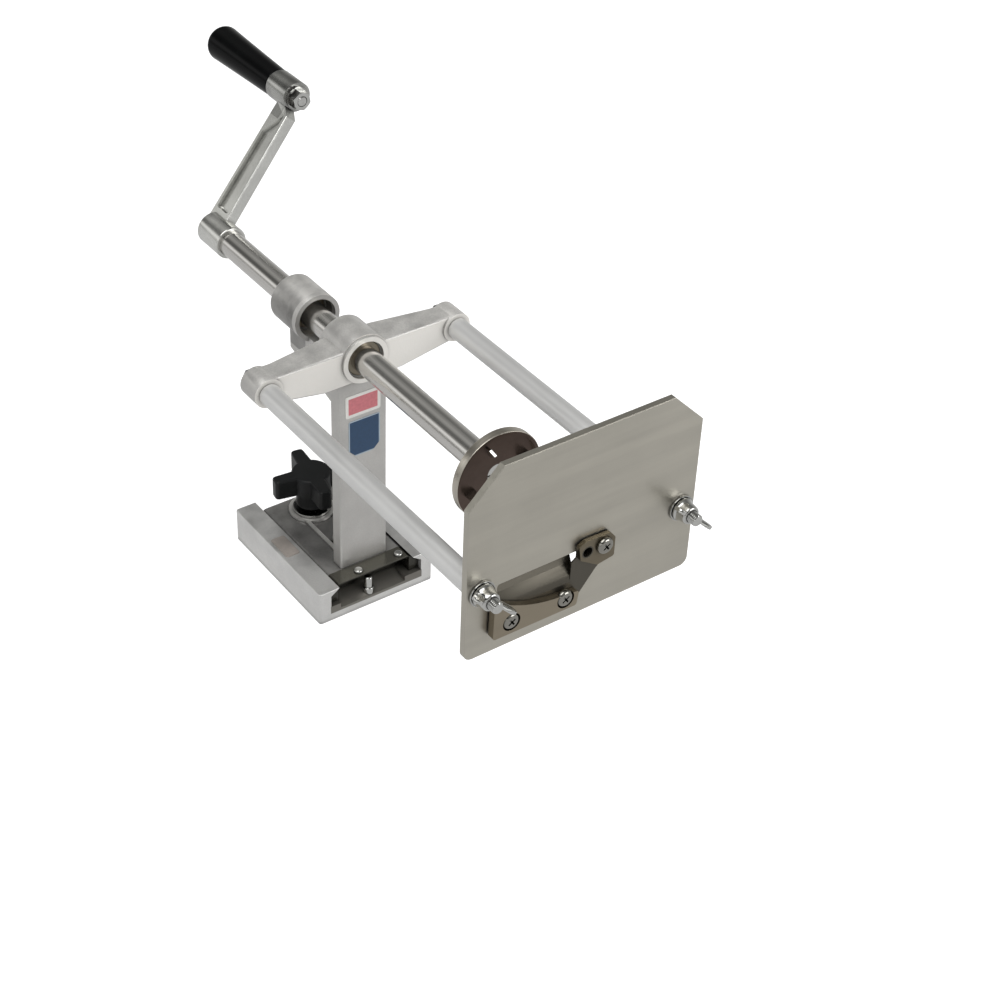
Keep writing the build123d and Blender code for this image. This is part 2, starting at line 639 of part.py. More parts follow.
# ================================================================ pusher
with BuildPart() as pusher_disc:
    with BuildSketch(front_plane(DISC_FRONT_Y)):
        with Locations((0, AXIS_Z)):
            Circle(DISC_R)
    extrude(amount=-DISC_RIM_L)
    with BuildSketch(front_plane(DISC_FRONT_Y)):
        with Locations((0, AXIS_Z)):
            Circle(DISC_R - DISC_RIM_T)
    extrude(amount=-(DISC_RIM_L - DISC_WEB_T), mode=Mode.SUBTRACT)
    with BuildSketch(front_plane(DISC_REAR_Y)):
        with Locations((0, AXIS_Z)):
            Circle(DISC_HUB_R)
    extrude(amount=-DISC_HUB_L)
    rims = pusher_disc.edges().filter_by(GeomType.CIRCLE).filter_by(lambda e: abs(e.radius - DISC_R) < SLIP)
    fillet(rims, radius=DISC_EDGE_R)
    # socket of the shaft, closed by the web
    with BuildSketch(front_plane(SHAFT_FRONT_Y)):
        with Locations((0, AXIS_Z)):
            Circle(SHAFT_R + SLIP)
    extrude(amount=-(DISC_HUB_L + OVERRUN), mode=Mode.SUBTRACT)
    with Locations(front_plane(DISC_WEB_FRONT_Y)):
        with Locations((0, AXIS_Z)):
            CounterSinkHole(
                PUSHER_SCREW_R + CLEAR_HOLE,
                PUSHER_HEAD_R + SLIP,
                depth=DISC_WEB_T + OVERRUN,
                counter_sink_angle=COUNTERSINK,
            )
    for i in range(TINE_COUNT):
        angle = radians(TINE_PHASE + 360 * i / TINE_COUNT)
        foot = Plane(
            origin=(TINE_RADIUS * cos(angle), DISC_WEB_FRONT_Y, AXIS_Z + TINE_RADIUS * sin(angle)),
            x_dir=(cos(angle), 0, sin(angle)),
            z_dir=(0, -1, 0),
        )
        with BuildSketch(foot):
            Rectangle(TINE_W + 2 * SLIP, TINE_T + 2 * SLIP)
        extrude(amount=-TINE_ROOT, mode=Mode.SUBTRACT)
save("pusher_disc", pusher_disc.part)

with BuildPart() as pusher_tines:
    for i in range(TINE_COUNT):
        angle = radians(TINE_PHASE + 360 * i / TINE_COUNT)
        side = Plane(
            origin=(TINE_RADIUS * cos(angle), DISC_WEB_FRONT_Y, AXIS_Z + TINE_RADIUS * sin(angle)),
            x_dir=(cos(angle), 0, sin(angle)),
            z_dir=(sin(angle), 0, -cos(angle)),
        )
        # outline of one tine: square foot, pointed front
        with BuildSketch(side):
            with BuildLine():
                Polyline(
                    (-TINE_W / 2, -TINE_ROOT),
                    (TINE_W / 2, -TINE_ROOT),
                    (TINE_W / 2, TINE_HIGH_SHOULDER),
                    (TINE_W / 4, TINE_LENGTH),
                    (-TINE_W / 2, TINE_LOW_SHOULDER),
                    close=True,
                )
            make_face()
        extrude(amount=TINE_T / 2, both=True)
save("pusher_tines", pusher_tines.part)

with BuildPart() as pusher_screw:
    head = Plane(origin=(0, DISC_WEB_FRONT_Y, AXIS_Z), x_dir=(1, 0, 0), z_dir=(0, 1, 0))
    with BuildSketch(head):
        Circle(PUSHER_HEAD_R)
    extrude(amount=PUSHER_HEAD_R - PUSHER_SCREW_R, taper=COUNTERSINK / 2)
    with BuildSketch(head):
        Circle(PUSHER_SCREW_R)
    extrude(amount=PUSHER_SCREW_L)
    with BuildSketch(head):
        Rectangle(2 * PUSHER_HEAD_R, SCREW_CROSS_W)
    extrude(amount=SCREW_CROSS_DEPTH, mode=Mode.SUBTRACT)
save("pusher_screw", pusher_screw.part)

# ================================================================ crank arm
# side view of the leaning arm: sketch X runs to the rear, sketch Y up the arm
lean = radians(CRANK_LEAN)
arm_side = Plane(origin=(0, 0, AXIS_Z), x_dir=(0, 1, 0), z_dir=(cos(lean), 0, -sin(lean)))
# edges of the groove along the arm, at its start and at its shoulder
groove_low = (
    up_arm(ARM_LOW_FRONT_Y, ARM_HIGH_FRONT_Y, GROOVE_START) + GROOVE_RIM,
    up_arm(ARM_LOW_REAR_Y, ARM_HIGH_REAR_Y, GROOVE_START) - GROOVE_RIM,
)
groove_high = (
    up_arm(ARM_LOW_FRONT_Y, ARM_HIGH_FRONT_Y, GROOVE_SHOULDER) + GROOVE_RIM,
    up_arm(ARM_LOW_REAR_Y, ARM_HIGH_REAR_Y, GROOVE_SHOULDER) - GROOVE_RIM,
)
groove_tip = up_arm(ARM_LOW_FRONT_Y, ARM_HIGH_FRONT_Y, GROOVE_END) + GROOVE_RIM
with BuildPart() as crank_arm:
    # bar between the hub and the boss
    with BuildSketch(arm_side):
        with BuildLine():
            Polyline(
                (ARM_LOW_FRONT_Y, 0),
                (up_arm(ARM_LOW_FRONT_Y, ARM_HIGH_FRONT_Y, ARM_STEP), ARM_STEP),
                (BOSS_FRONT_Y, ARM_STEP + ARM_STEP_L),
                (BOSS_FRONT_Y, CRANK_THROW),
                (ARM_HIGH_REAR_Y, CRANK_THROW),
                (ARM_LOW_REAR_Y, 0),
                close=True,
            )
        make_face()
    extrude(amount=ARM_W / 2, both=True)
    # long groove in each broad side, pointed at its upper end
    for side in (-1, 1):
        with BuildSketch(arm_side.offset(side * ARM_W / 2)):
            with BuildLine():
                Polyline(
                    (groove_low[0], GROOVE_START),
                    (groove_high[0], GROOVE_SHOULDER),
                    (groove_tip, GROOVE_END),
                    (groove_high[1], GROOVE_SHOULDER),
                    (groove_low[1], GROOVE_START),
                    close=True,
                )
            make_face()
            fillet(vertices().group_by(Axis.Y)[0], radius=GROOVE_CORNER_R)
        extrude(amount=-side * GROOVE_DEPTH, mode=Mode.SUBTRACT)
    long_edges = crank_arm.edges().filter_by(lambda e: e.length > GROOVE_END)
    fillet(long_edges, radius=CRANK_EDGE_R)
    # hub on the shaft and boss of the handle
    with BuildSketch(front_plane(CRANK_HUB_FRONT_Y)):
        with Locations((0, AXIS_Z)):
            Circle(CRANK_HUB_R)
    extrude(amount=-(CRANK_HUB_REAR_Y - CRANK_HUB_FRONT_Y))
    with BuildSketch(front_plane(BOSS_FRONT_Y)):
        with Locations((GRIP_X, GRIP_Z)):
            Circle(BOSS_R)
    extrude(amount=-(BOSS_REAR_Y - BOSS_FRONT_Y))
    fillet(crank_arm.edges().filter_by(GeomType.CIRCLE).sort_by(Axis.Y)[-1], radius=CRANK_EDGE_R)
    fillet(crank_arm.edges().filter_by(GeomType.CIRCLE).sort_by(Axis.Y)[0], radius=CRANK_EDGE_R)
    # bores of the shaft, the spindle and the set screw
    with Locations(front_plane(CRANK_HUB_FRONT_Y)):
        with Locations((0, AXIS_Z)):
            Hole(SHAFT_R + SLIP, depth=ARM_LOW_REAR_Y - CRANK_HUB_FRONT_Y)
    with Locations(front_plane(BOSS_FRONT_Y)):
        with Locations((GRIP_X, GRIP_Z)):
            Hole(SPINDLE_R + SLIP, depth=BOSS_REAR_Y - BOSS_FRONT_Y)
    with Locations(Plane(origin=(0, SET_SCREW_Y, AXIS_Z - CRANK_HUB_R), z_dir=(0, 0, -1))):
        Hole(SET_SCREW_R + SLIP, depth=SET_SCREW_L)
save("crank_arm", crank_arm.part)

set_screw_mouth = Plane(origin=(0, SET_SCREW_Y, AXIS_Z - CRANK_HUB_R), z_dir=(0, 0, 1))
with BuildPart() as crank_set_screw:
    with BuildSketch(set_screw_mouth):
        Circle(SET_SCREW_R)
    extrude(amount=SET_SCREW_L)
    with BuildSketch(set_screw_mouth):
        RegularPolygon(SET_SCREW_HEX_R, 6)
    extrude(amount=SET_SCREW_HEX_DEPTH, mode=Mode.SUBTRACT)
save("crank_set_screw", crank_set_screw.part)

# ================================================================ handle
with BuildPart() as handle_spindle:
    with BuildSketch(front_plane(SPINDLE_FRONT_Y)):
        with Locations((GRIP_X, GRIP_Z)):
            Circle(SPINDLE_R)
    extrude(amount=-(SPINDLE_HEAD_Y - SPINDLE_FRONT_Y))
    chamfer(handle_spindle.edges().filter_by(GeomType.CIRCLE).sort_by(Axis.Y)[0], length=SPINDLE_CHAMFER)
    with BuildSketch(front_plane(SPINDLE_HEAD_Y + RUNNING)):
        with Locations((GRIP_X, GRIP_Z)):
            Circle(SPINDLE_HEAD_R)
    extrude(amount=-SPINDLE_HEAD_L)
    with BuildSketch(front_plane(SPINDLE_HEAD_Y)):
        with Locations((GRIP_X, GRIP_Z)):
            Circle(SPINDLE_R)
    extrude(amount=-RUNNING)
    with BuildSketch(front_plane(SPINDLE_HEAD_Y + RUNNING + SPINDLE_HEAD_L)):
        with Locations((GRIP_X, GRIP_Z)):
            Rectangle(2 * SPINDLE_HEAD_R, SPINDLE_SLOT_W)
    extrude(amount=SPINDLE_SLOT_DEPTH, mode=Mode.SUBTRACT)
save("handle_spindle", handle_spindle.part)

with BuildPart() as spindle_washer:
    with BuildSketch(front_plane(BOSS_FRONT_Y - WASHER_T)):
        with Locations((GRIP_X, GRIP_Z)):
            Circle(SPINDLE_WASHER_R)
            Circle(SPINDLE_R + CLEAR_HOLE, mode=Mode.SUBTRACT)
    extrude(amount=-WASHER_T)
save("spindle_washer", spindle_washer.part)

with BuildPart() as spindle_nut:
    with BuildSketch(front_plane(BOSS_FRONT_Y - WASHER_T - NUT_M8_H)):
        with Locations((GRIP_X, GRIP_Z)):
            RegularPolygon(NUT_M8_AF / 2, 6, major_radius=False, rotation=CRANK_LEAN)
            Circle(SPINDLE_R + SLIP, mode=Mode.SUBTRACT)
    extrude(amount=-NUT_M8_H)
    # corners turned off at the front
    with BuildSketch(front_plane(BOSS_FRONT_Y - WASHER_T - NUT_M8_H)):
        with Locations((GRIP_X, GRIP_Z)):
            Circle(NUT_M8_AF / 2)
    extrude(amount=-NUT_M8_H, taper=NUT_CORNER_TAPER, mode=Mode.INTERSECT)
save("spindle_nut", spindle_nut.part)

with BuildPart() as hand_grip:
    # half outline from the axis outward, turned about the spindle
    with BuildSketch(Plane(origin=(GRIP_X, 0, GRIP_Z), x_dir=(1, 0, 0), z_dir=(0, 0, 1))):
        with BuildLine():
            Polyline(
                (0, GRIP_REAR_Y),
                (0, GRIP_FRONT_Y),
                (GRIP_SMALL_R - GRIP_LIP, GRIP_FRONT_Y),
                (GRIP_SMALL_R, GRIP_FRONT_Y + GRIP_LIP),
            )
            Spline(
                (GRIP_SMALL_R, GRIP_FRONT_Y + GRIP_LIP),
                (GRIP_MIDDLE_R, (GRIP_FRONT_Y + GRIP_REAR_Y) / 2),
                (GRIP_BIG_R, GRIP_REAR_Y - GRIP_DOME),
            )
            ThreePointArc(
                (GRIP_BIG_R, GRIP_REAR_Y - GRIP_DOME),
                (GRIP_DOME_R, GRIP_REAR_Y - GRIP_DOME_BACK),
                (GRIP_SINK_R, GRIP_REAR_Y),
            )
            Line((GRIP_SINK_R, GRIP_REAR_Y), (0, GRIP_REAR_Y))
        make_face()
    revolve(axis=Axis((GRIP_X, 0, GRIP_Z), (0, 1, 0)))
    with Locations(front_plane(GRIP_FRONT_Y)):
        with Locations((GRIP_X, GRIP_Z)):
            Hole(SPINDLE_R + RUNNING, depth=GRIP_L)
    with BuildSketch(front_plane(SPINDLE_HEAD_Y)):
        with Locations((GRIP_X, GRIP_Z)):
            Circle(GRIP_SINK_R)
    extrude(amount=-GRIP_SINK_L, mode=Mode.SUBTRACT)
save("hand_grip", hand_grip.part)

# ================================================================ side rods and their fastenings
for rod_name, rod_x in (("left_rod", -ROD_X), ("right_rod", ROD_X)):
    with BuildPart() as rod:
        with BuildSketch(front_plane(PLATE_REAR_Y)):
            with Locations((rod_x, AXIS_Z)):
                Circle(ROD_R)
        extrude(amount=-(ROD_REAR_Y - PLATE_REAR_Y))
        chamfer(rod.edges().filter_by(GeomType.CIRCLE), length=ROD_CHAMFER)
        with Locations(front_plane(PLATE_REAR_Y)):
            with Locations((rod_x, AXIS_Z)):
                Hole(STUD_R + SLIP, depth=STUD_IN_ROD)
        with BuildSketch(front_plane(ROD_REAR_Y)):
            with Locations((rod_x, AXIS_Z)):
                Circle(STUD_R + SLIP)
        extrude(amount=ROD_BOLT_IN_ROD, mode=Mode.SUBTRACT)
    save(rod_name, rod.part)

with BuildPart() as plate_studs:
    with BuildSketch(front_plane(PLATE_FRONT_Y - STUD_OUT)):
        with Locations((-ROD_X, AXIS_Z), (ROD_X, AXIS_Z)):
            Circle(STUD_R)
    extrude(amount=-(STUD_OUT + PLATE_T + STUD_IN_ROD))
    chamfer(plate_studs.edges().filter_by(GeomType.CIRCLE), length=STUD_CHAMFER)
save("plate_studs", plate_studs.part)

with BuildPart() as rod_bolts:
    with BuildSketch(front_plane(ARM_REAR_END_Y)):
        with Locations((-ROD_X, AXIS_Z), (ROD_X, AXIS_Z)):
            RegularPolygon(NUT_M8_AF / 2, 6, major_radius=False)
    extrude(amount=-ROD_BOLT_HEAD_H)
    chamfer(rod_bolts.faces().sort_by(Axis.Y)[-2:].edges(), length=ROD_BOLT_CHAMFER)
    with BuildSketch(front_plane(ARM_REAR_END_Y)):
        with Locations((-ROD_X, AXIS_Z), (ROD_X, AXIS_Z)):
            Circle(STUD_R)
    extrude(amount=ARM_REAR_END_Y - ROD_REAR_Y + ROD_BOLT_IN_ROD - ROD_BOLT_TIP_GAP)
save("rod_bolts", rod_bolts.part)

# ================================================================ blade plate
with BuildPart() as blade_plate:
    with BuildSketch(front_plane(PLATE_FRONT_Y)):
        with BuildLine():
            Polyline(
                (-PLATE_W / 2, PLATE_LOW_Z),
                (PLATE_W / 2, PLATE_LOW_Z),
                (PLATE_W / 2, PLATE_TOP_Z - PLATE_CHAMFER),
                (PLATE_W / 2 - PLATE_CHAMFER, PLATE_TOP_Z),
                (-PLATE_W / 2 + PLATE_CHAMFER, PLATE_TOP_Z),
                (-PLATE_W / 2, PLATE_TOP_Z - PLATE_CHAMFER),
                close=True,
            )
        make_face()
        fillet(vertices().group_by(Axis.Y)[0], radius=PLATE_LOW_R)
        with Locations(((WINDOW_X0 + WINDOW_X1) / 2, (WINDOW_Z0 + WINDOW_Z1) / 2)):
            RectangleRounded(WINDOW_X1 - WINDOW_X0, WINDOW_Z1 - WINDOW_Z0, WINDOW_R, mode=Mode.SUBTRACT)
        with Locations((-ROD_X, AXIS_Z), (ROD_X, AXIS_Z)):
            Circle(PLATE_HOLE_R, mode=Mode.SUBTRACT)
        with Locations((0, AXIS_Z)):
            Circle(TUBE_R + SLIP, mode=Mode.SUBTRACT)
        with Locations(*BAR_SCREW_PLACES, BRACKET_SCREW_PLACE):
            Circle(SCREW_R + SLIP, mode=Mode.SUBTRACT)
    extrude(amount=-PLATE_T)
    chamfer(blade_plate.faces().sort_by(Axis.Y)[0].outer_wire().edges(), length=PLATE_EDGE_CHAMFER)
save("blade_plate", blade_plate.part)

# ================================================================ blade
with BuildPart() as cutting_blade:
    # bent strip: flat on the plate's front, then back through the window to the cutting edge
    rear_mid, rear_end = [(PLATE_FRONT_Y + back, BLADE_BEND_Z + up) for back, up in BLADE_REAR_CURVE]
    front_mid, front_end = [(PLATE_FRONT_Y + back, BLADE_BEND_Z + up) for back, up in BLADE_FRONT_CURVE]
    with BuildSketch(side_plane(BLADE_X0)):
        with BuildLine():
            Line((PLATE_FRONT_Y, BLADE_LOW_Z), (PLATE_FRONT_Y, BLADE_BEND_Z))
            ThreePointArc((PLATE_FRONT_Y, BLADE_BEND_Z), rear_mid, rear_end)
            Line(rear_end, (BLADE_EDGE_Y, BLADE_EDGE_Z))
            Line((BLADE_EDGE_Y, BLADE_EDGE_Z), front_end)
            ThreePointArc(front_end, front_mid, (BLADE_FRONT_Y, BLADE_BEND_Z))
            Line((BLADE_FRONT_Y, BLADE_BEND_Z), (BLADE_FRONT_Y, BLADE_LOW_Z))
            Line((BLADE_FRONT_Y, BLADE_LOW_Z), (PLATE_FRONT_Y, BLADE_LOW_Z))
        make_face()
    extrude(amount=BLADE_X1 - BLADE_X0)
    with BuildSketch(front_plane(BLADE_FRONT_Y)):
        with BuildLine():
            Polyline(*over_axis(TAB_OUTLINE), close=True)
        make_face()
    extrude(amount=-BLADE_T)
    with BuildSketch(front_plane(BLADE_FRONT_Y)):
        with Locations((0, AXIS_Z)):
            Circle(TUBE_R + SLIP)
        with Locations(*BAR_SCREW_PLACES, BRACKET_SCREW_PLACE):
            Circle(SCREW_R + SLIP)
    extrude(amount=-BLADE_T, mode=Mode.SUBTRACT)
save("cutting_blade", cutting_blade.part)

with BuildPart() as blade_clamp_bar:
    with BuildSketch(front_plane(BLADE_FRONT_Y)):
        with BuildLine():
            Polyline(*over_axis(BAR_OUTLINE))
            ThreePointArc(*over_axis(BAR_CURVE))
            Line(*over_axis((BAR_CURVE[-1], BAR_OUTLINE[0])))
        make_face()
        corners = vertices().sort_by(Axis.X)
        fillet(corners[:2] + corners[-2:], radius=BAR_R)
        with Locations(*BAR_SCREW_PLACES):
            Circle(SCREW_R + CLEAR_HOLE, mode=Mode.SUBTRACT)
    extrude(amount=BAR_T)
    with BuildSketch(front_plane(BAR_SEAT_Y)):
        with Locations(*BAR_SCREW_PLACES):
            Circle(SCREW_HEAD_R + SCREW_SINK_GAP)
    extrude(amount=SCREW_SINK, mode=Mode.SUBTRACT)
save("blade_clamp_bar", blade_clamp_bar.part)

with BuildPart() as blade_bracket:
    with BuildSketch(front_plane(BLADE_FRONT_Y)):
        with BuildLine():
            Polyline(*over_axis(BRACKET_OUTLINE), close=True)
        make_face()
        fillet(vertices(), radius=BRACKET_R)
        with Locations((0, AXIS_Z)):
            Circle(TUBE_R + SLIP, mode=Mode.SUBTRACT)
        with Locations(BRACKET_SCREW_PLACE):
            Circle(SCREW_R + CLEAR_HOLE, mode=Mode.SUBTRACT)
    extrude(amount=BRACKET_T)
save("blade_bracket", blade_bracket.part)

with BuildPart() as coring_tube:
    with BuildSketch(front_plane(BLADE_FRONT_Y - BRACKET_T)):
        with Locations((0, AXIS_Z)):
            Circle(TUBE_R)
            Circle(TUBE_BORE_R, mode=Mode.SUBTRACT)
    extrude(amount=-(TUBE_REAR_Y - BLADE_FRONT_Y + BRACKET_T))
    # sharpened rear rim
    rear_face = coring_tube.faces().sort_by(Axis.Y)[-1]
    chamfer(rear_face.outer_wire().edges(), length=TUBE_EDGE_IN, length2=TUBE_EDGE_L, reference=rear_face)
save("coring_tube", coring_tube.part)

with BuildPart() as blade_screws:
    for place, seat_y in BLADE_SCREW_SEATS:
        with BuildSketch(front_plane(seat_y)):
            with Locations(place):
                Circle(SCREW_HEAD_R)
        extrude(amount=SCREW_HEAD_H)
    tops = blade_screws.edges().filter_by(GeomType.CIRCLE).sort_by(Axis.Y)
    fillet(tops[:3], radius=SCREW_DOME_R)
    for place, seat_y in BLADE_SCREW_SEATS:
        with BuildSketch(front_plane(seat_y)):
            with Locations(place):
                Circle(SCREW_R)
        extrude(amount=-(PLATE_REAR_Y - seat_y))
        with BuildSketch(front_plane(seat_y - SCREW_HEAD_H)):
            with Locations(place):
                Rectangle(SCREW_CROSS_L, SCREW_CROSS_W, rotation=SCREW_TURN)
                Rectangle(SCREW_CROSS_W, SCREW_CROSS_L, rotation=SCREW_TURN)
        extrude(amount=-SCREW_CROSS_DEPTH, mode=Mode.SUBTRACT)
save("blade_screws", blade_screws.part)

# ================================================================ wing nuts and washers
with BuildPart() as plate_washers:
    with BuildSketch(front_plane(PLATE_FRONT_Y - WASHER_T)):
        with Locations((-ROD_X, AXIS_Z), (ROD_X, AXIS_Z)):
            Circle(PLATE_WASHER_R)
        with Locations((-ROD_X, AXIS_Z), (ROD_X, AXIS_Z)):
            Circle(STUD_R + CLEAR_HOLE, mode=Mode.SUBTRACT)
    extrude(amount=-WASHER_T)
save("plate_washers", plate_washers.part)

for nut_name, nut_x, wing_angle in (
    ("left_wing_nut", -ROD_X, LEFT_WING_ANGLE),
    ("right_wing_nut", ROD_X, RIGHT_WING_ANGLE),
):
    turn = radians(wing_angle)
    with BuildPart() as wing_nut:
        # flat wings: sketch X runs along the wings, sketch Y out of the plate
        wing_plane = Plane(
            origin=(nut_x, NUT_SEAT_Y, AXIS_Z),
            x_dir=(cos(turn), 0, sin(turn)),
            z_dir=(-sin(turn), 0, cos(turn)),
        )
        with BuildSketch(wing_plane):
            for side in (-1, 1):
                with BuildLine():
                    Polyline(*[(side * reach, -out) for reach, out in WING_OUTLINE], close=True)
                make_face()
            fillet(vertices().group_by(Axis.X)[0] + vertices().group_by(Axis.X)[-1], radius=WING_CORNER_R)
        extrude(amount=WING_T / 2, both=True)
        # round body, narrower at its top
        with BuildSketch(Plane(origin=(nut_x, NUT_SEAT_Y, AXIS_Z), x_dir=(1, 0, 0), z_dir=(0, 0, 1))):
            with BuildLine():
                Polyline(*[(reach, -out) for reach, out in NUT_OUTLINE], close=True)
            make_face()
        revolve(axis=Axis((nut_x, 0, AXIS_Z), (0, 1, 0)))
        with BuildSketch(front_plane(NUT_SEAT_Y)):
            with Locations((nut_x, AXIS_Z)):
                Circle(STUD_R + RUNNING)
        extrude(amount=WING_H, mode=Mode.SUBTRACT)
    save(nut_name, wing_nut.part)

# ================================================================ clamp knob
with BuildPart() as clamp_knob:
    with BuildSketch(Plane.XY.offset(KNOB_LOBE_LOW_Z)):
        with Locations((0, KNOB_Y)):
            Circle(KNOB_CORE_R)
            with Locations(*[Location((0, 0), LOBE_PHASE + 360 * i / LOBE_COUNT) for i in range(LOBE_COUNT)]):
                # lobe, narrower at its tip
                Polygon(
                    (0, -LOBE_ROOT_W / 2),
                    (KNOB_R, -LOBE_TIP_W / 2),
                    (KNOB_R, LOBE_TIP_W / 2),
                    (0, LOBE_ROOT_W / 2),
                    align=None,
                )
        centre = Vector(0, KNOB_Y, 0)
        tips = vertices().filter_by(lambda v: (Vector(v) - centre).length > KNOB_CORE_R + OVERRUN)
        roots = vertices().filter_by(lambda v: (Vector(v) - centre).length < KNOB_CORE_R + OVERRUN)
        fillet(tips, radius=KNOB_CORNER_R)
        fillet(roots, radius=KNOB_ROOT_R)
    extrude(amount=KNOB_TOP_Z - KNOB_LOBE_LOW_Z)
    fillet(clamp_knob.faces().sort_by(Axis.Z)[-1].edges(), radius=KNOB_EDGE_R)
    with BuildSketch(Plane.XY.offset(KNOB_LOW_Z)):
        with Locations((0, KNOB_Y)):
            Circle(KNOB_SKIRT_R)
    extrude(amount=KNOB_LOBE_LOW_Z - KNOB_LOW_Z)
    with BuildSketch(Plane.XY.offset(KNOB_LOW_Z)):
        with Locations((0, KNOB_Y)):
            Circle(CLAMP_STUD_R + SLIP)
    extrude(amount=CLAMP_STUD_TOP_Z - KNOB_LOW_Z, mode=Mode.SUBTRACT)
save("clamp_knob", clamp_knob.part)

with BuildPart() as clamp_stud:
    with BuildSketch(Plane.XY.offset(CLAMP_STUD_LOW_Z)):
        with Locations((0, KNOB_Y)):
            Circle(CLAMP_STUD_R)
    extrude(amount=CLAMP_STUD_TOP_Z - CLAMP_STUD_LOW_Z)
    chamfer(clamp_stud.edges().filter_by(GeomType.CIRCLE), length=CLAMP_STUD_CHAMFER)
save("clamp_stud", clamp_stud.part)

with BuildPart() as clamp_pad:
    with BuildSketch(Plane.XY.offset(FLOOR_Z)):
        with Locations((0, KNOB_Y)):
            Circle(CLAMP_PAD_R)
    extrude(amount=CLAMP_PAD_T)
    chamfer(clamp_pad.edges().filter_by(GeomType.CIRCLE), length=CLAMP_PAD_CHAMFER)
save("clamp_pad", clamp_pad.part)

with BuildPart() as clamp_washer:
    with BuildSketch(Plane.XY.offset(PAD_TOP_Z)):
        with Locations((0, KNOB_Y)):
            Circle(CLAMP_WASHER_R)
            Circle(CLAMP_STUD_R + CLEAR_HOLE, mode=Mode.SUBTRACT)
    extrude(amount=CLAMP_WASHER_T)
save("clamp_washer", clamp_washer.part)

# ================================================================ front stop pin and toe screws
with BuildPart() as front_stop_pin:
    with BuildSketch(Plane.XY.offset(FLOOR_Z - STOP_PIN_ROOT)):
        with Locations(STOP_PIN_XY):
            Circle(STOP_PIN_R)
    extrude(amount=STOP_PIN_TOP_Z - FLOOR_Z + STOP_PIN_ROOT)
    fillet(front_stop_pin.edges().filter_by(GeomType.CIRCLE).sort_by(Axis.Z)[-1], radius=STOP_PIN_EDGE_R)
    with BuildSketch(Plane.XY.offset(RAMP_LOW_Z)):
        with Locations(STOP_PIN_XY):
            Circle(STOP_FOOT_R)
    extrude(amount=STOP_FOOT_TOP_Z - RAMP_LOW_Z)
    collar_edges = front_stop_pin.edges().filter_by(GeomType.CIRCLE).filter_by_position(
        Axis.Z, STOP_FOOT_TOP_Z - SLIP, STOP_FOOT_TOP_Z + SLIP
    )
    fillet(collar_edges.sort_by(SortBy.RADIUS)[-1], radius=STOP_FOOT_EDGE_R)
save("front_stop_pin", front_stop_pin.part)

with BuildPart() as toe_screws:
    with BuildSketch(Plane.XY.offset(BASE_H)):
        with Locations(*TOE_SCREW_XY):
            Circle(TOE_HEAD_R)
    extrude(amount=TOE_HEAD_H)
    fillet(toe_screws.edges().filter_by(GeomType.CIRCLE).group_by(Axis.Z)[-1], radius=TOE_HEAD_EDGE_R)
    with BuildSketch(Plane.XY.offset(BASE_H)):
        with Locations(*TOE_SCREW_XY):
            Circle(TOE_SCREW_R)
    extrude(amount=-TOE_SCREW_L)
save("toe_screws", toe_screws.part)

# ================================================================ plain labels and the rail's raised pad
with BuildPart() as upper_label:
    with BuildSketch(front_plane(COLUMN_FRONT_Y)):
        with Locations((0, AXIS_Z - UPPER_LABEL_DROP - UPPER_LABEL_H / 2)):
            RectangleRounded(UPPER_LABEL_W, UPPER_LABEL_H, LABEL_R)
    extrude(amount=LABEL_T)
save("upper_label", upper_label.part)

with BuildPart() as lower_label:
    with BuildSketch(front_plane(COLUMN_FRONT_Y)):
        with Locations((LOWER_LABEL_X, AXIS_Z - LOWER_LABEL_DROP - LOWER_LABEL_H / 2)):
            Rectangle(LOWER_LABEL_W, LOWER_LABEL_H)
        chamfer(vertices().group_by(Axis.Y)[0], length=LOWER_LABEL_CUT)
        fillet(vertices().group_by(Axis.Y)[-1], radius=LABEL_R)
    extrude(amount=LABEL_T)
save("lower_label", lower_label.part)

with BuildPart() as rail_pad:
    with BuildSketch(Plane.XY.offset(BASE_H)):
        with Locations((-RAIL_MIDDLE_X, RAIL_PAD_Y)):
            RectangleRounded(RAIL_PAD_W, RAIL_PAD_L, LABEL_R)
    extrude(amount=RAIL_PAD_T)
save("rail_pad", rail_pad.part)
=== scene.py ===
import math

import bmesh
import bpy
from bpy.props import FloatProperty, FloatVectorProperty, PointerProperty
from mathutils import Matrix, Vector


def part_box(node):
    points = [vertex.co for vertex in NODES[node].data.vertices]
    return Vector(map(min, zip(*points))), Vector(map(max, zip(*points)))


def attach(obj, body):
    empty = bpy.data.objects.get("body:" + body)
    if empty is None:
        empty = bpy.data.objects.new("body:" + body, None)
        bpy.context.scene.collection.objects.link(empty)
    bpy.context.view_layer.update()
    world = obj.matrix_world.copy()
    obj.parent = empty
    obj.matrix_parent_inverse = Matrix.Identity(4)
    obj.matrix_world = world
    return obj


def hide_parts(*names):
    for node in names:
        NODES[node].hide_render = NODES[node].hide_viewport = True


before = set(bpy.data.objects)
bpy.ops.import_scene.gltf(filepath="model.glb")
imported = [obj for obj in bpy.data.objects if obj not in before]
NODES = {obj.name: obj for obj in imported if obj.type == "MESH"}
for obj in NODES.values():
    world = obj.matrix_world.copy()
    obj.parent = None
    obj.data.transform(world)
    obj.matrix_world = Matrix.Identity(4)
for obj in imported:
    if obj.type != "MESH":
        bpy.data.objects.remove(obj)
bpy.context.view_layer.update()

bl_info = {
    "name": "Ribbon Potato Cutter",
    "version": (1, 0, 0),
    "blender": (4, 5, 0),
    "location": "3D View > Sidebar > Cutter",
    "description": "Dresses the hand-cranked ribbon cutter: castings, bright steel, black plastic",
    "category": "Object",
}

MM = 0.001

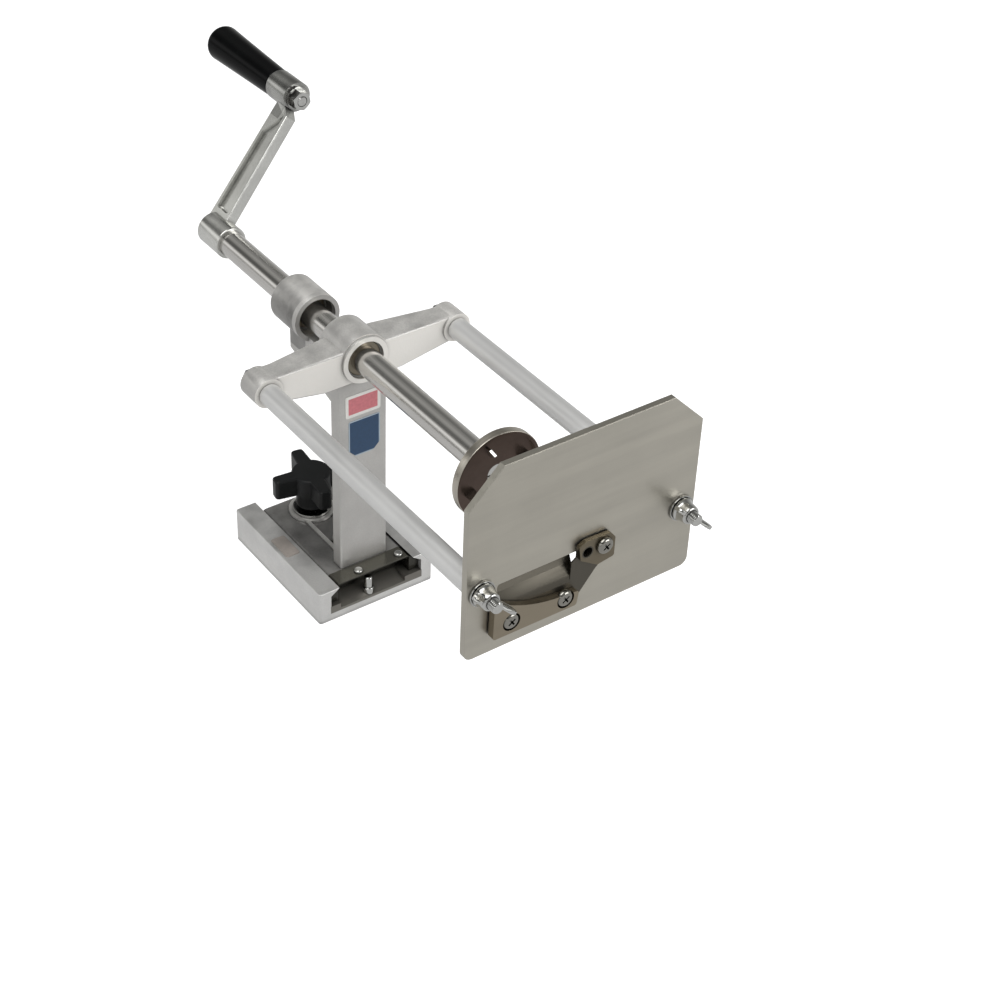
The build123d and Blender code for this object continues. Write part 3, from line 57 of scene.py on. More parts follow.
# ---------------------------------------------------------------- shapes, in millimetres
AXIS_Z = 200.0  # height of the shaft's axis
STUD_R = 4.0  # radius of the plate studs over the thread
THREAD_STEPS = 32  # points round a stud
THREAD_RINGS = 8  # rings of points in each turn of thread
END_TAPER = 1.2  # how far a stud's ends narrow, in depths of the thread

# wing nut: (distance from its axis, distance out of its seat)
NUT_BODY = (
    (4.3, 0.0), (7.2, 0.0), (7.7, 0.5), (7.7, 1.4), (7.1, 2.1), (6.7, 3.2), (6.4, 5.4), (6.2, 7.9), (5.8, 8.9),
    (5.1, 9.4), (4.3, 9.4), (4.0, 9.1),
)
WING_LOOP = (
    (3.4, 1.6), (6.6, 2.5), (10.6, 4.6), (14.6, 6.6), (17.6, 9.0), (18.5, 11.8), (17.4, 14.2), (14.8, 14.9),
    (11.6, 13.2), (8.4, 10.2), (5.8, 8.0), (3.4, 7.4),
)
# a wing from one face to the other: (share of the way to the outline's middle, distance from the middle plane);
# its rim is round and its faces are slightly hollow
WING_SECTION = (
    (0.30, 1.0), (0.10, 1.35), (0.02, 1.1), (0.0, 0.5), (0.0, -0.5), (0.02, -1.1), (0.10, -1.35), (0.30, -1.0),
)
NUT_STEPS = 48  # points round the body
SPAN_POINTS = 4  # points between two corners of a wing's outline

SMOOTH_ANGLE = math.radians(38)  # steeper edges of the new pieces stay sharp
BEVEL_ANGLE = math.radians(35)  # steeper edges of the CAD pieces are rounded
WELD_GAP = 0.00001  # points of the CAD pieces closer than this become one, in metres

# ---------------------------------------------------------------- zones, in metres: (lowest, highest) by axis
ZONE_EDGE = 0.0002  # half the width of a zone's border
SLOT_FLOOR = {"Z": (0.006, 0.0125), "X": (-0.0385, 0.0385)}
FOOT = {"Z": (0.0, 0.0270)}
TOE = {"Z": (0.0, 0.0270), "Y": (-0.070, -0.0424)}  # the foot in front of the column
TOE_SIDES = {"Z": (0.0, 0.0262)}
YOKE_FRONT = {"Z": (0.18, 0.22), "Y": (-0.048, -0.0435)}
REAR_HUB = {"Y": (0.0195, 0.060), "Z": (0.17, 0.22)}
HANDLE_BOSS = {"Y": (0.1585, 0.1900), "Z": (0.2730, 0.3100)}

# ---------------------------------------------------------------- tones
# painted shade on the floor of the base's slot
SLOT_FLOOR_SHADE_TONE = (0.20, 0.19, 0.17)
FOOT_ROUGHNESS = (0.22, 0.22, 0.22)
# painted shade on the toe's top, and a darker painted shadow on its sides
TOE_TOP_SHADE_TONE = (0.13, 0.125, 0.105)
TOE_SIDES_SHADOW_TONE = (0.045, 0.043, 0.036)
# machined yoke front, painted brighter as a reflection of the lit front
MACHINED_YOKE_REFLECTION_TONE = (0.80, 0.78, 0.74)
PAD_TONE = (0.55, 0.50, 0.46)
DISC_RIM_TONE = (0.60, 0.56, 0.49)
# painted shade on the disc's flat face
DISC_FACE_SHADE_TONE = (0.085, 0.062, 0.052)
CRANK_TONE = (0.72, 0.72, 0.69)
FLOOR_TONES = ((0.90, 0.90, 0.90), (0.93, 0.93, 0.93))

# metals with fine lines: lines per metre along X, Y and Z, and corners is how far the painted shade in their
# seams and inner corners reaches, in metres
LINED_METALS = {
    "bush_metal": {"colour": (0.26, 0.23, 0.18), "rough": 0.35, "lines": (300, 20, 300)},
    "shaft_steel": {"rough": 0.18, "lines": (900, 6, 900)},
    "bright_steel": {
        "colour": (0.62, 0.62, 0.60), "rough": 0.08, "lines": (400, 30, 400), "streak": 0.04, "corners": 0.005,
    },
    "screw_steel": {"colour": (0.34, 0.33, 0.30), "rough": 0.12, "lines": (400, 30, 400), "corners": 0.002},
    "dark_steel": {"colour": (0.3, 0.3, 0.3), "rough": 0.4, "lines": (300, 30, 300)},
    "rod_metal": {"rough": 0.4, "lines": (60, 10, 60), "metallic": 0.6},
    "plate_metal": {"rough": 0.36, "lines": (8, 30, 160)},
    "blade_steel": {"colour": (0.125, 0.115, 0.095), "rough": 0.44, "lines": (20, 60, 400)},
    "bar_metal": {"colour": (0.34, 0.295, 0.225), "rough": 0.34, "lines": (30, 30, 200), "corners": 0.004},
    "bracket_metal": {"colour": (0.21, 0.18, 0.13), "rough": 0.3, "lines": (30, 30, 200), "corners": 0.004},
}

# labels: (node, tone of the rim, tone of the field, width of the rim in millimetres)
LABELS = (
    ("upper_label", (0.66, 0.65, 0.62), (0.50, 0.15, 0.17), 2.4),
    ("lower_label", (0.35, 0.42, 0.48), (0.012, 0.045, 0.105), 0.8),
)

# ---------------------------------------------------------------- room, floor and camera, in metres
# brightness of the room in reflections, by the angle round the shaft's direction:
# (degrees up from +X towards +Z, brightness)
ROOM_BANDS = (
    (-180.0, 0.30), (-165.0, 0.52), (-90.0, 0.60), (-20.0, 0.72), (0.0, 0.50), (25.0, 0.36), (42.0, 0.17),
    (60.0, 0.19), (80.0, 0.34), (95.0, 0.44), (108.0, 0.26), (119.0, 0.12), (136.0, 0.09), (146.0, 0.30),
    (156.0, 1.35), (163.0, 1.35), (171.0, 0.42), (180.0, 0.30),
)
ROOM_BLUE = 0.97  # share of blue in the room's light
FLOOR_LIFT = 0.40  # added to the floor for the camera alone, so that it is white outside the soft shadow
FLOOR_REACH = 6.0

# softboxes: (name, setting of its power, place, point it faces, width and height)
SOFTBOXES = (
    ("overhead", "key_power", (-0.5, -0.3, 1.6), (0, -0.1, 0.15), (1.2, 1.2)),
    ("front", "fill_power", (0.9, -1.5, 0.7), (0, -0.2, 0.15), (0.9, 0.9)),
)

# the photograph's camera: its place, and the directions of its picture
CAMERA_PLACE = (-0.602486, -0.993959, 0.945210)
CAMERA_RIGHT = Vector((0.812525, -0.581813, 0.036010))
CAMERA_DOWN = Vector((-0.330825, -0.511110, -0.793298))
CAMERA_AHEAD = Vector((0.479956, 0.632661, -0.607768))
SENSOR_WIDTH = 36.0  # millimetres
CLIP_RANGE = (0.05, 30.0)


# ---------------------------------------------------------------- settings
class CutterFinish(bpy.types.PropertyGroup):
    """Colours of the large pieces."""

    base_colour: FloatVectorProperty(name="Base", description="Cast base", subtype="COLOR", size=3,
                                     default=(0.73, 0.725, 0.71), min=0.0, max=1.0)
    frame_colour: FloatVectorProperty(name="Frame", description="Cast frame", subtype="COLOR", size=3,
                                      default=(0.55, 0.54, 0.52), min=0.0, max=1.0)
    plate_colour: FloatVectorProperty(name="Plate", description="Blade plate", subtype="COLOR", size=3,
                                      default=(0.56, 0.535, 0.47), min=0.0, max=1.0)
    rod_colour: FloatVectorProperty(name="Rods", description="Side rods", subtype="COLOR", size=3,
                                    default=(0.70, 0.70, 0.69), min=0.0, max=1.0)
    shaft_colour: FloatVectorProperty(name="Shaft", description="Drive shaft", subtype="COLOR", size=3,
                                      default=(0.68, 0.665, 0.64), min=0.0, max=1.0)
    plastic_colour: FloatVectorProperty(name="Plastic", description="Grip and knob", subtype="COLOR", size=3,
                                        default=(0.0028, 0.0030, 0.0031), min=0.0, max=1.0)


class CutterSizes(bpy.types.PropertyGroup):
    """Sizes of the thread, the wing nuts' turn and the rounded edges."""

    thread_pitch: FloatProperty(name="Thread pitch", description="Pitch of the studs' thread, in millimetres",
                                default=1.25, min=0.5)
    thread_depth: FloatProperty(name="Thread depth", description="Depth of the studs' thread, in millimetres",
                                default=0.55, min=0.1)
    left_wings: FloatProperty(name="Left wings", description="Turn of the left wing nut", subtype="ANGLE",
                              unit="ROTATION", default=math.radians(-38.0))
    right_wings: FloatProperty(name="Right wings", description="Turn of the right wing nut", subtype="ANGLE",
                               unit="ROTATION", default=math.radians(-42.0))
    cast_edge: FloatProperty(name="Cast edges", description="Rounding of the castings' edges", unit="LENGTH",
                             default=0.0006, min=0.0)
    crank_edge: FloatProperty(name="Crank edges", description="Rounding of the crank's edges", unit="LENGTH",
                              default=0.0008, min=0.0)
    blade_edge: FloatProperty(name="Blade edges", description="Rounding of the blade and its holders",
                              unit="LENGTH", default=0.0007, min=0.0)
    fitting_edge: FloatProperty(name="Fitting edges", description="Rounding of nuts, washers and screws",
                                unit="LENGTH", default=0.0003, min=0.0)


class CutterStage(bpy.types.PropertyGroup):
    """Camera, lights and floor."""

    lens: FloatProperty(name="Lens", description="Focal length in millimetres", unit="CAMERA", default=72.92,
                        min=20.0)
    key_power: FloatProperty(name="Key", description="Overhead softbox, watts", unit="POWER", default=14.0,
                             min=0.0)
    fill_power: FloatProperty(name="Fill", description="Front softbox, watts", unit="POWER", default=10.0,
                              min=0.0)
    room_light: FloatProperty(name="Room", description="Strength of the even room light", default=0.62, min=0.0)
    floor_glow: FloatProperty(name="Floor", description="Brightness of the floor in reflections", default=0.62,
                              min=0.0)


# ---------------------------------------------------------------- material kit
class Graph:
    """One material's nodes, added in order and wired by name."""

    def __init__(self, name):
        self.material = bpy.data.materials.new(name)
        self.material.use_nodes = True
        self.tree = self.material.node_tree
        self.tree.nodes.clear()
        self.output = self.tree.nodes.new("ShaderNodeOutputMaterial")
        self.shader = self.tree.nodes.new("ShaderNodeBsdfPrincipled")
        self.join(self.shader.outputs["BSDF"], self.output.inputs["Surface"])
        self.place = self.tree.nodes.new("ShaderNodeTexCoord").outputs["Object"]

    def join(self, source, target):
        self.tree.links.new(source, target)

    def wired(self, key):
        """What is joined to one of the shader's sockets so far."""
        return self.shader.inputs[key].links[0].from_socket

    def stretch(self, scale):
        """The object's own coordinates, stretched."""
        mapping = self.tree.nodes.new("ShaderNodeMapping")
        mapping.inputs["Scale"].default_value = scale
        self.join(self.place, mapping.inputs["Vector"])
        return mapping.outputs["Vector"]

    def noise(self, scale, detail=4.0, roughness=0.55, where=None):
        node = self.tree.nodes.new("ShaderNodeTexNoise")
        node.inputs["Scale"].default_value = scale
        node.inputs["Detail"].default_value = detail
        node.inputs["Roughness"].default_value = roughness
        self.join(where or self.place, node.inputs["Vector"])
        return node.outputs["Fac"]

    def cells(self, scale):
        node = self.tree.nodes.new("ShaderNodeTexVoronoi")
        node.inputs["Scale"].default_value = scale
        self.join(self.place, node.inputs["Vector"])
        return node.outputs["Distance"]

    def spread(self, value, low, high, start=0.3, end=0.7):
        """value from start..end mapped to low..high; most of a noise lies in 0.3..0.7."""
        node = self.tree.nodes.new("ShaderNodeMapRange")
        node.inputs["From Min"].default_value = start
        node.inputs["From Max"].default_value = end
        node.inputs["To Min"].default_value = low
        node.inputs["To Max"].default_value = high
        self.join(value, node.inputs["Value"])
        return node.outputs["Result"]

    def maths(self, way, first, second=0.0):
        node = self.tree.nodes.new("ShaderNodeMath")
        node.operation = way
        for value, socket in ((first, node.inputs[0]), (second, node.inputs[1])):
            if isinstance(value, float):
                socket.default_value = value
            else:
                self.join(value, socket)
        return node.outputs["Value"]

    def axis(self, letter, source=None):
        """One of the object's own coordinates, in metres, or the same part of another source."""
        node = self.tree.nodes.new("ShaderNodeSeparateXYZ")
        self.join(source or self.place, node.inputs["Vector"])
        return node.outputs[letter]

    def facing(self, letter):
        """How far the surface faces along one of the object's own axes."""
        return self.axis(letter, self.tree.nodes.new("ShaderNodeTexCoord").outputs["Normal"])

    def within(self, letter, low, high):
        """1 between two values of a coordinate, 0 outside."""
        value = self.axis(letter)
        above = self.spread(value, 0.0, 1.0, low - ZONE_EDGE, low + ZONE_EDGE)
        below = self.spread(value, 1.0, 0.0, high - ZONE_EDGE, high + ZONE_EDGE)
        return self.maths("MULTIPLY", above, below)

    def zone(self, limits, inside=None):
        """1 between the limits of every axis named, 0 outside; inside is one more factor."""
        for letter, (low, high) in limits.items():
            part = self.within(letter, low, high)
            inside = self.maths("MULTIPLY", inside, part) if inside else part
        return inside

    def paint_corner_shade(self, reach, deepest):
        """Paints shade into the colour in grooves, seams and inner corners, from ambient occlusion."""
        node = self.tree.nodes.new("ShaderNodeAmbientOcclusion")
        node.inputs["Distance"].default_value = reach
        node.samples = 6
        level = self.spread(node.outputs["AO"], deepest, 1.0, start=0.25, end=0.92)
        self.set(Base_Color=self.mix(1.0, self.wired("Base Color"), level, "MULTIPLY"))

    def ramp(self, value, *stops):
        node = self.tree.nodes.new("ShaderNodeValToRGB")
        fill_ramp(node.color_ramp, stops)
        self.join(value, node.inputs["Fac"])
        return node.outputs["Color"]

    def mix(self, factor, first, second, way="MIX"):
        node = self.tree.nodes.new("ShaderNodeMix")
        node.data_type = "RGBA"
        node.blend_type = way
        # sockets 6, 7 and 2 are the ones for colours
        for value, socket in ((factor, node.inputs[0]), (first, node.inputs[6]), (second, node.inputs[7])):
            self.feed(value, socket)
        return node.outputs[2]

    def add_bump(self, height, strength, distance):
        node = self.tree.nodes.new("ShaderNodeBump")
        node.inputs["Strength"].default_value = strength
        node.inputs["Distance"].default_value = distance
        self.join(height, node.inputs["Height"])
        if self.shader.inputs["Normal"].is_linked:
            self.join(self.wired("Normal"), node.inputs["Normal"])
        self.set(Normal=node.outputs["Normal"])

    def feed(self, value, socket):
        """Puts a number or a colour on a socket, or joins another node to it."""
        if isinstance(value, (int, float)):
            socket.default_value = value
        elif isinstance(value, tuple):
            socket.default_value = (*value, 1.0)
        else:
            self.join(value, socket)

    def set(self, **values):
        for key, value in values.items():
            self.feed(value, self.shader.inputs[key.replace("_", " ")])


def fill_ramp(bar, stops):
    """Gives a colour ramp its stops: (position, colour)."""
    while len(bar.elements) < len(stops):
        bar.elements.new(0.5)
    for element, (spot, colour) in zip(bar.elements, stops):
        element.position = spot
        element.color = (*colour, 1.0)


def shade(colour, factor):
    return tuple(min(1.0, channel * factor) for channel in colour)


# ---------------------------------------------------------------- finishes
def cast_metal(name, colour, rough, grain, top_lighting=1.0, metallic=0.75):
    """Sand-cast metal: cloudy tone, fine grains, small pits; tops sets the painted light (above 1) or painted
    shade (below 1) on level faces.
    """
    g = Graph(name)
    cloud = g.noise(38.0, detail=5.0)
    speck = g.noise(900.0, detail=3.0)
    tone = g.ramp(cloud, (0.3, shade(colour, 0.86)), (0.7, shade(colour, 1.08)))
    # level faces: painted light or painted shade from above, by the factor tops
    level = g.spread(g.facing("Z"), 0.0, 1.0, start=0.6, end=0.9)
    painted_top_tone = g.ramp(cloud, (0.35, shade(colour, top_lighting * 0.8)), (0.6, shade(colour, top_lighting * 1.15)))
    g.set(
        Base_Color=g.mix(g.spread(speck, 0.0, 0.3), g.mix(level, tone, painted_top_tone), shade(colour, 0.72)),
        Metallic=metallic,
        Roughness=g.spread(cloud, rough - 0.06, rough + 0.08),
    )
    g.add_bump(speck, strength=0.35, distance=grain)
    g.add_bump(g.cells(260.0), strength=0.2, distance=grain)
    return g


def base_metal(colour):
    """The base's casting: rough, with painted shade on the floor of its slot, on its level faces and in its
    corners.
    """
    g = cast_metal("cast_base", colour, rough=0.4, grain=0.0002, top_lighting=0.88)
    # painted shade on the floor of the slot
    g.set(Base_Color=g.mix(g.zone(SLOT_FLOOR), g.wired("Base Color"), SLOT_FLOOR_SHADE_TONE))
    # painted shade in the seams and inner corners
    g.paint_corner_shade(reach=0.004, deepest=0.35)
    return g.material


def frame_metal(colour):
    """The frame's casting: polished foot painted dark as a dark reflection, rough column, machined yoke front
    painted bright as a reflection, mottled hub with painted shade on its left side, painted shade on the toe
    and in the corners, painted light on level faces.
    """
    g = cast_metal("cast_frame", colour, rough=0.38, grain=0.0002, top_lighting=1.35, metallic=0.7)
    mottle = g.noise(26.0, detail=6.0, roughness=0.65)

    # foot: polished, its tone painted dark as a dark reflection
    foot = g.zone(FOOT)
    dark = g.ramp(mottle, (0.35, shade(colour, 0.42)), (0.68, shade(colour, 0.85)))
    tone = g.mix(foot, g.wired("Base Color"), dark)
    gloss = g.mix(foot, g.wired("Roughness"), FOOT_ROUGHNESS)

    # yoke front: machined, painted bright as a reflection, and less metallic so that the painted tone shows
    yoke_front = g.zone(YOKE_FRONT, g.spread(g.facing("Y"), 1.0, 0.0, start=-0.98, end=-0.9))
    tone = g.mix(yoke_front, tone, MACHINED_YOKE_REFLECTION_TONE)

    # toe: painted shade on its top, darker painted shadow on its sides
    tone = g.mix(g.zone(TOE), tone, g.mix(g.zone(TOE_SIDES), TOE_TOP_SHADE_TONE, TOE_SIDES_SHADOW_TONE))

    # rear hub: mottled tone, with painted shade on faces turned towards -X
    left_shade = g.spread(g.facing("X"), 0.5, 1.0, start=-0.95, end=-0.35)
    mottled = g.ramp(mottle, (0.38, shade(colour, 0.72)), (0.62, shade(colour, 1.35)))
    g.set(
        Base_Color=g.mix(g.zone(REAR_HUB), tone, g.mix(1.0, mottled, left_shade, "MULTIPLY")),
        Metallic=g.spread(yoke_front, 0.7, 0.35, start=0.0, end=1.0),
        Roughness=gloss,
    )
    # painted shade in the seams and inner corners
    g.paint_corner_shade(reach=0.004, deepest=0.3)
    return g.material


def crank_metal(colour):
    """Polished crank: bright arm, boss at the handle painted dark as a dark reflection, painted shade in its
    grooves and corners.
    """
    g = cast_metal("crank_metal", colour, rough=0.2, grain=0.00004, metallic=0.95)
    # boss at the handle: painted dark as a dark reflection
    boss_dark_reflection = g.ramp(g.noise(30.0), (0.35, shade(colour, 0.36)), (0.65, shade(colour, 0.66)))
    g.set(Base_Color=g.mix(g.zone(HANDLE_BOSS), g.wired("Base Color"), boss_dark_reflection))
    # painted shade in the grooves and inner corners
    g.paint_corner_shade(reach=0.003, deepest=0.42)
    return g.material


def lined_metal(name, **setting):
    """Bar, sheet or turned metal of LINED_METALS; its lines run along the axis with the fewest."""
    look = {"streak": 0.08, "metallic": 1.0, "corners": 0.0, **LINED_METALS[name], **setting}
    colour, rough, streak = look["colour"], look["rough"], look["streak"]
    g = Graph(name)
    lines = g.noise(1.0, detail=3.0, roughness=0.6, where=g.stretch(look["lines"]))
    cloud = g.noise(30.0)
    g.set(
        Base_Color=g.mix(
            g.spread(cloud, 0.0, 1.0),
            g.ramp(lines, (0.3, shade(colour, 0.93)), (0.7, colour)),
            g.ramp(lines, (0.3, shade(colour, 0.86)), (0.7, shade(colour, 0.96))),
        ),
        Metallic=look["metallic"],
        Roughness=g.spread(lines, rough - streak / 2, rough + streak),
    )
    g.add_bump(lines, strength=0.12, distance=0.00006)
    # painted shade in the seams and inner corners
    if look["corners"]:
        g.paint_corner_shade(reach=look["corners"], deepest=0.12)
    return g.material


def disc_metal(rim, face):
    """Turned disc: bright rim, flat face painted dark as shade."""
    g = Graph("disc_steel")
    lines = g.noise(1.0, detail=3.0, roughness=0.6, where=g.stretch((60, 900, 60)))
    cloud = g.noise(40.0, detail=5.0)
    flat = g.spread(g.maths("ABSOLUTE", g.facing("Y")), 0.0, 1.0, start=0.8, end=0.95)
    rim_tone = g.ramp(lines, (0.3, shade(rim, 0.8)), (0.7, rim))
    shaded_face_tone = g.ramp(cloud, (0.3, face), (0.7, shade(face, 1.6)))
    g.set(Base_Color=g.mix(flat, rim_tone, shaded_face_tone), Metallic=1.0, Roughness=g.spread(cloud, 0.26, 0.38))
    g.add_bump(lines, strength=0.15, distance=0.00006)
    return g.material


def plastic(name, colour, rough, sheen):
    """Moulded plastic: near-even tone, faint orange-peel, dust."""
    g = Graph(name)
    peel = g.noise(420.0, detail=2.0)
    dust = g.noise(90.0, detail=6.0)
    g.set(
        Base_Color=g.ramp(dust, (0.45, colour), (0.8, shade(colour, 1.35))),
        Roughness=g.spread(dust, rough, rough + 0.1),
        Specular_IOR_Level=sheen,
    )
    g.add_bump(peel, strength=0.06, distance=0.0001)
    return g.material


def label_face(name, rim, field, inner):
    """Plain sheet: a pale rim round one plain field, which fills the zone called inner."""
    g = Graph(name)
    grain = g.noise(500.0, detail=3.0)
    rim_tone = g.ramp(grain, (0.3, shade(rim, 0.93)), (0.7, rim))
    field_tone = g.ramp(grain, (0.3, shade(field, 0.9)), (0.7, shade(field, 1.1)))
    g.set(Base_Color=g.mix(g.zone(inner), rim_tone, field_tone), Roughness=g.spread(grain, 0.35, 0.45))
    return g.material


def paint_nodes(material, *names):
    """Puts one material on whole CAD nodes."""
    for name in names:
        mesh = NODES[name].data
        mesh.materials.clear()
        mesh.materials.append(material)


# ---------------------------------------------------------------- shapes
def frame_box(name):
    """Lowest and highest corner of a CAD node, in millimetres."""
    low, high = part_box(name)
    return Vector(low) / MM, Vector(high) / MM


def frame_centre(name):
    """Middle of a CAD node's box, in millimetres."""
    low, high = frame_box(name)
    return (low + high) / 2


def soften(width, segments, *names):
    """Rounds the sharp edges of CAD nodes with a weld and a bevel."""
    for name in names:
        node = NODES[name]
        weld = node.modifiers.new("weld", "WELD")
        weld.merge_threshold = WELD_GAP
        bevel = node.modifiers.new("edge", "BEVEL")
        bevel.width = width
        bevel.segments = segments
        bevel.limit_method = "ANGLE"
        bevel.angle_limit = BEVEL_ANGLE
        bevel.harden_normals = False


def add_piece(name, vertices, faces, material, body, stands_for):
    """A new smooth mesh, from points in millimetres, riding on a body and taking the place of CAD nodes."""
    mesh = bpy.data.meshes.new(name)
    mesh.from_pydata([tuple(value * MM for value in vertex) for vertex in vertices], [], faces)
    work = bmesh.new()
    work.from_mesh(mesh)
    bmesh.ops.recalc_face_normals(work, faces=work.faces)
    work.to_mesh(mesh)
    work.free()
    for face in mesh.polygons:
        face.use_smooth = True
    mesh.set_sharp_from_angle(angle=SMOOTH_ANGLE)
    mesh.materials.append(material)
    piece = bpy.data.objects.new(name, mesh)
    bpy.context.scene.collection.objects.link(piece)
    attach(piece, body)
    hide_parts(*stands_for)


def ring_faces(rings, steps, start=0):
    """Side faces between rings of equal size, and then a face at each end."""
    faces = []
    for ring in range(rings - 1):
        for step in range(steps):
            here = start + ring * steps
            after = (step + 1) % steps
            faces.append((here + step, here + after, here + steps + after, here + steps + step))
    faces.append(tuple(start + step for step in range(steps)))
    faces.append(tuple(start + (rings - 1) * steps + step for step in range(steps)))
    return faces


def ring_point(x, y, reach, turn):
    """A point round a line that runs along Y at the shaft's height."""
    return x + reach * math.cos(turn), y, AXIS_Z + reach * math.sin(turn)


def threaded_rod(x, front, rear, pitch, depth):
    """A stud along Y with a helical thread from its front to its rear, tapered at both ends."""
    vertices = []
    rings = int((rear - front) / pitch * THREAD_RINGS)
    for ring in range(rings + 1):
        y = front + (rear - front) * ring / rings
        margin = min(y - front, rear - y)
        for step in range(THREAD_STEPS):
            wave = (y / pitch + step / THREAD_STEPS) % 1.0
            tooth = abs(2.0 * wave - 1.0)
            reach = min(STUD_R - depth * tooth, STUD_R - depth * END_TAPER + margin)
            vertices.append(ring_point(x, y, reach, 2 * math.pi * step / THREAD_STEPS))
    return vertices, ring_faces(rings + 1, THREAD_STEPS)


def stud_threads(rod_x, pitch, depth, material):
    """Both plate studs, in one mesh."""
    low, high = frame_box("plate_studs")
    vertices, faces = [], []
    for x in (-rod_x, rod_x):
        points, walls = threaded_rod(x, low.y, high.y, pitch, depth)
        faces.extend(tuple(index + len(vertices) for index in wall) for wall in walls)
        vertices.extend(points)
    add_piece("plate_stud_threads", vertices, faces, material, "base", ("plate_studs",))


def smooth_loop(points, count):
    """Closed smooth curve through points (Catmull-Rom), with count points per span."""
    loop = []
    total = len(points)
    for i in range(total):
        a, b, c, d = (Vector(points[(i + k) % total]) for k in (-1, 0, 1, 2))
        for k in range(count):
            t = k / count
            loop.append(0.5 * ((2 * b) + (c - a) * t + (2 * a - 5 * b + 4 * c - d) * t * t
                               + (3 * b - a - 3 * c + d) * t ** 3))
    return loop


def wing_nut(name, x, seat, angle, material):
    """Pressed wing nut: turned body and two thick rounded wings, in one smooth mesh."""
    vertices = []
    for reach, out in NUT_BODY:
        for step in range(NUT_STEPS):
            vertices.append(ring_point(x, seat - out, reach, 2 * math.pi * step / NUT_STEPS))
    # no faces at the ends: the last ring joins the first, round the bore
    faces = ring_faces(len(NUT_BODY), NUT_STEPS)[:-2]
    last = (len(NUT_BODY) - 1) * NUT_STEPS
    for step in range(NUT_STEPS):
        after = (step + 1) % NUT_STEPS
        faces.append((last + step, last + after, after, step))
    outline = smooth_loop(WING_LOOP, SPAN_POINTS)
    middle = sum(outline, Vector((0.0, 0.0))) / len(outline)
    along = Vector((math.cos(angle), 0, math.sin(angle)))
    across = Vector((-math.sin(angle), 0, math.cos(angle)))
    for side in (-1, 1):
        start = len(vertices)
        for inset, offset in WING_SECTION:
            for point in outline:
                spot = point + (middle - point) * inset
                place = Vector((x, seat, AXIS_Z)) + along * (side * spot.x) + across * offset
                vertices.append((place.x, place.y - spot.y, place.z))
        faces.extend(ring_faces(len(WING_SECTION), len(outline), start))
    add_piece(name + "_body", vertices, faces, material, name, (name,))


# ---------------------------------------------------------------- pieces
class PieceOperator:
    """Common settings of the operators."""

    bl_options = {"REGISTER", "UNDO"}

    @property
    def finish(self):
        return bpy.context.scene.cutter_finish

    @property
    def sizes(self):
        return bpy.context.scene.cutter_sizes


class CUTTER_OT_castings(PieceOperator, bpy.types.Operator):
    """Finish the base and the frame castings"""

    bl_idname = "cutter.castings"
    bl_label = "Castings"

    def execute(self, context):
        paint_nodes(base_metal(tuple(self.finish.base_colour)), "base_casting")
        paint_nodes(frame_metal(tuple(self.finish.frame_colour)), "frame_casting")
        soften(self.sizes.cast_edge, 2, "base_casting", "frame_casting")
        return {"FINISHED"}


class CUTTER_OT_drive(PieceOperator, bpy.types.Operator):
    """Finish the shaft, its bushes and the pusher's disc"""

    bl_idname = "cutter.drive"
    bl_label = "Drive"

    def execute(self, context):
        paint_nodes(lined_metal("bush_metal"), "front_bush", "rear_bush")
        paint_nodes(lined_metal("shaft_steel", colour=tuple(self.finish.shaft_colour)), "drive_shaft")
        paint_nodes(disc_metal(DISC_RIM_TONE, DISC_FACE_SHADE_TONE), "pusher_disc")
        return {"FINISHED"}


class CUTTER_OT_fittings(PieceOperator, bpy.types.Operator):
    """Finish the small steel fittings, thread the plate studs and make the wing nuts"""

    bl_idname = "cutter.fittings"
    bl_label = "Fittings"

    def execute(self, context):
        bright = lined_metal("bright_steel")
        paint_nodes(
            bright,
            "pusher_tines", "pusher_screw", "front_stop_pin", "toe_screws", "clamp_stud", "clamp_washer",
            "plate_washers", "spindle_nut", "spindle_washer", "handle_spindle",
        )
        paint_nodes(lined_metal("screw_steel"), "blade_screws")
        paint_nodes(lined_metal("dark_steel"), "crank_set_screw", "rod_bolts", "clamp_pad")
        soften(self.sizes.fitting_edge, 2, "spindle_nut", "plate_washers", "blade_screws", "clamp_washer")
        rod_x = frame_centre("right_rod").x
        seat = frame_box("left_wing_nut")[1].y
        stud_threads(rod_x, self.sizes.thread_pitch, self.sizes.thread_depth, bright)
        wing_nut("left_wing_nut", -rod_x, seat, self.sizes.left_wings, bright)
        wing_nut("right_wing_nut", rod_x, seat, self.sizes.right_wings, bright)
        return {"FINISHED"}


class CUTTER_OT_crank(PieceOperator, bpy.types.Operator):
    """Finish the crank, its grip and the clamp knob"""

    bl_idname = "cutter.crank"
    bl_label = "Crank"

    def execute(self, context):
        paint_nodes(crank_metal(CRANK_TONE), "crank_arm")
        soften(self.sizes.crank_edge, 3, "crank_arm")
        black = tuple(self.finish.plastic_colour)
        paint_nodes(plastic("grip_plastic", black, rough=0.1, sheen=0.06), "hand_grip")
        paint_nodes(plastic("knob_plastic", shade(black, 3.0), rough=0.3, sheen=0.22), "clamp_knob")
        return {"FINISHED"}


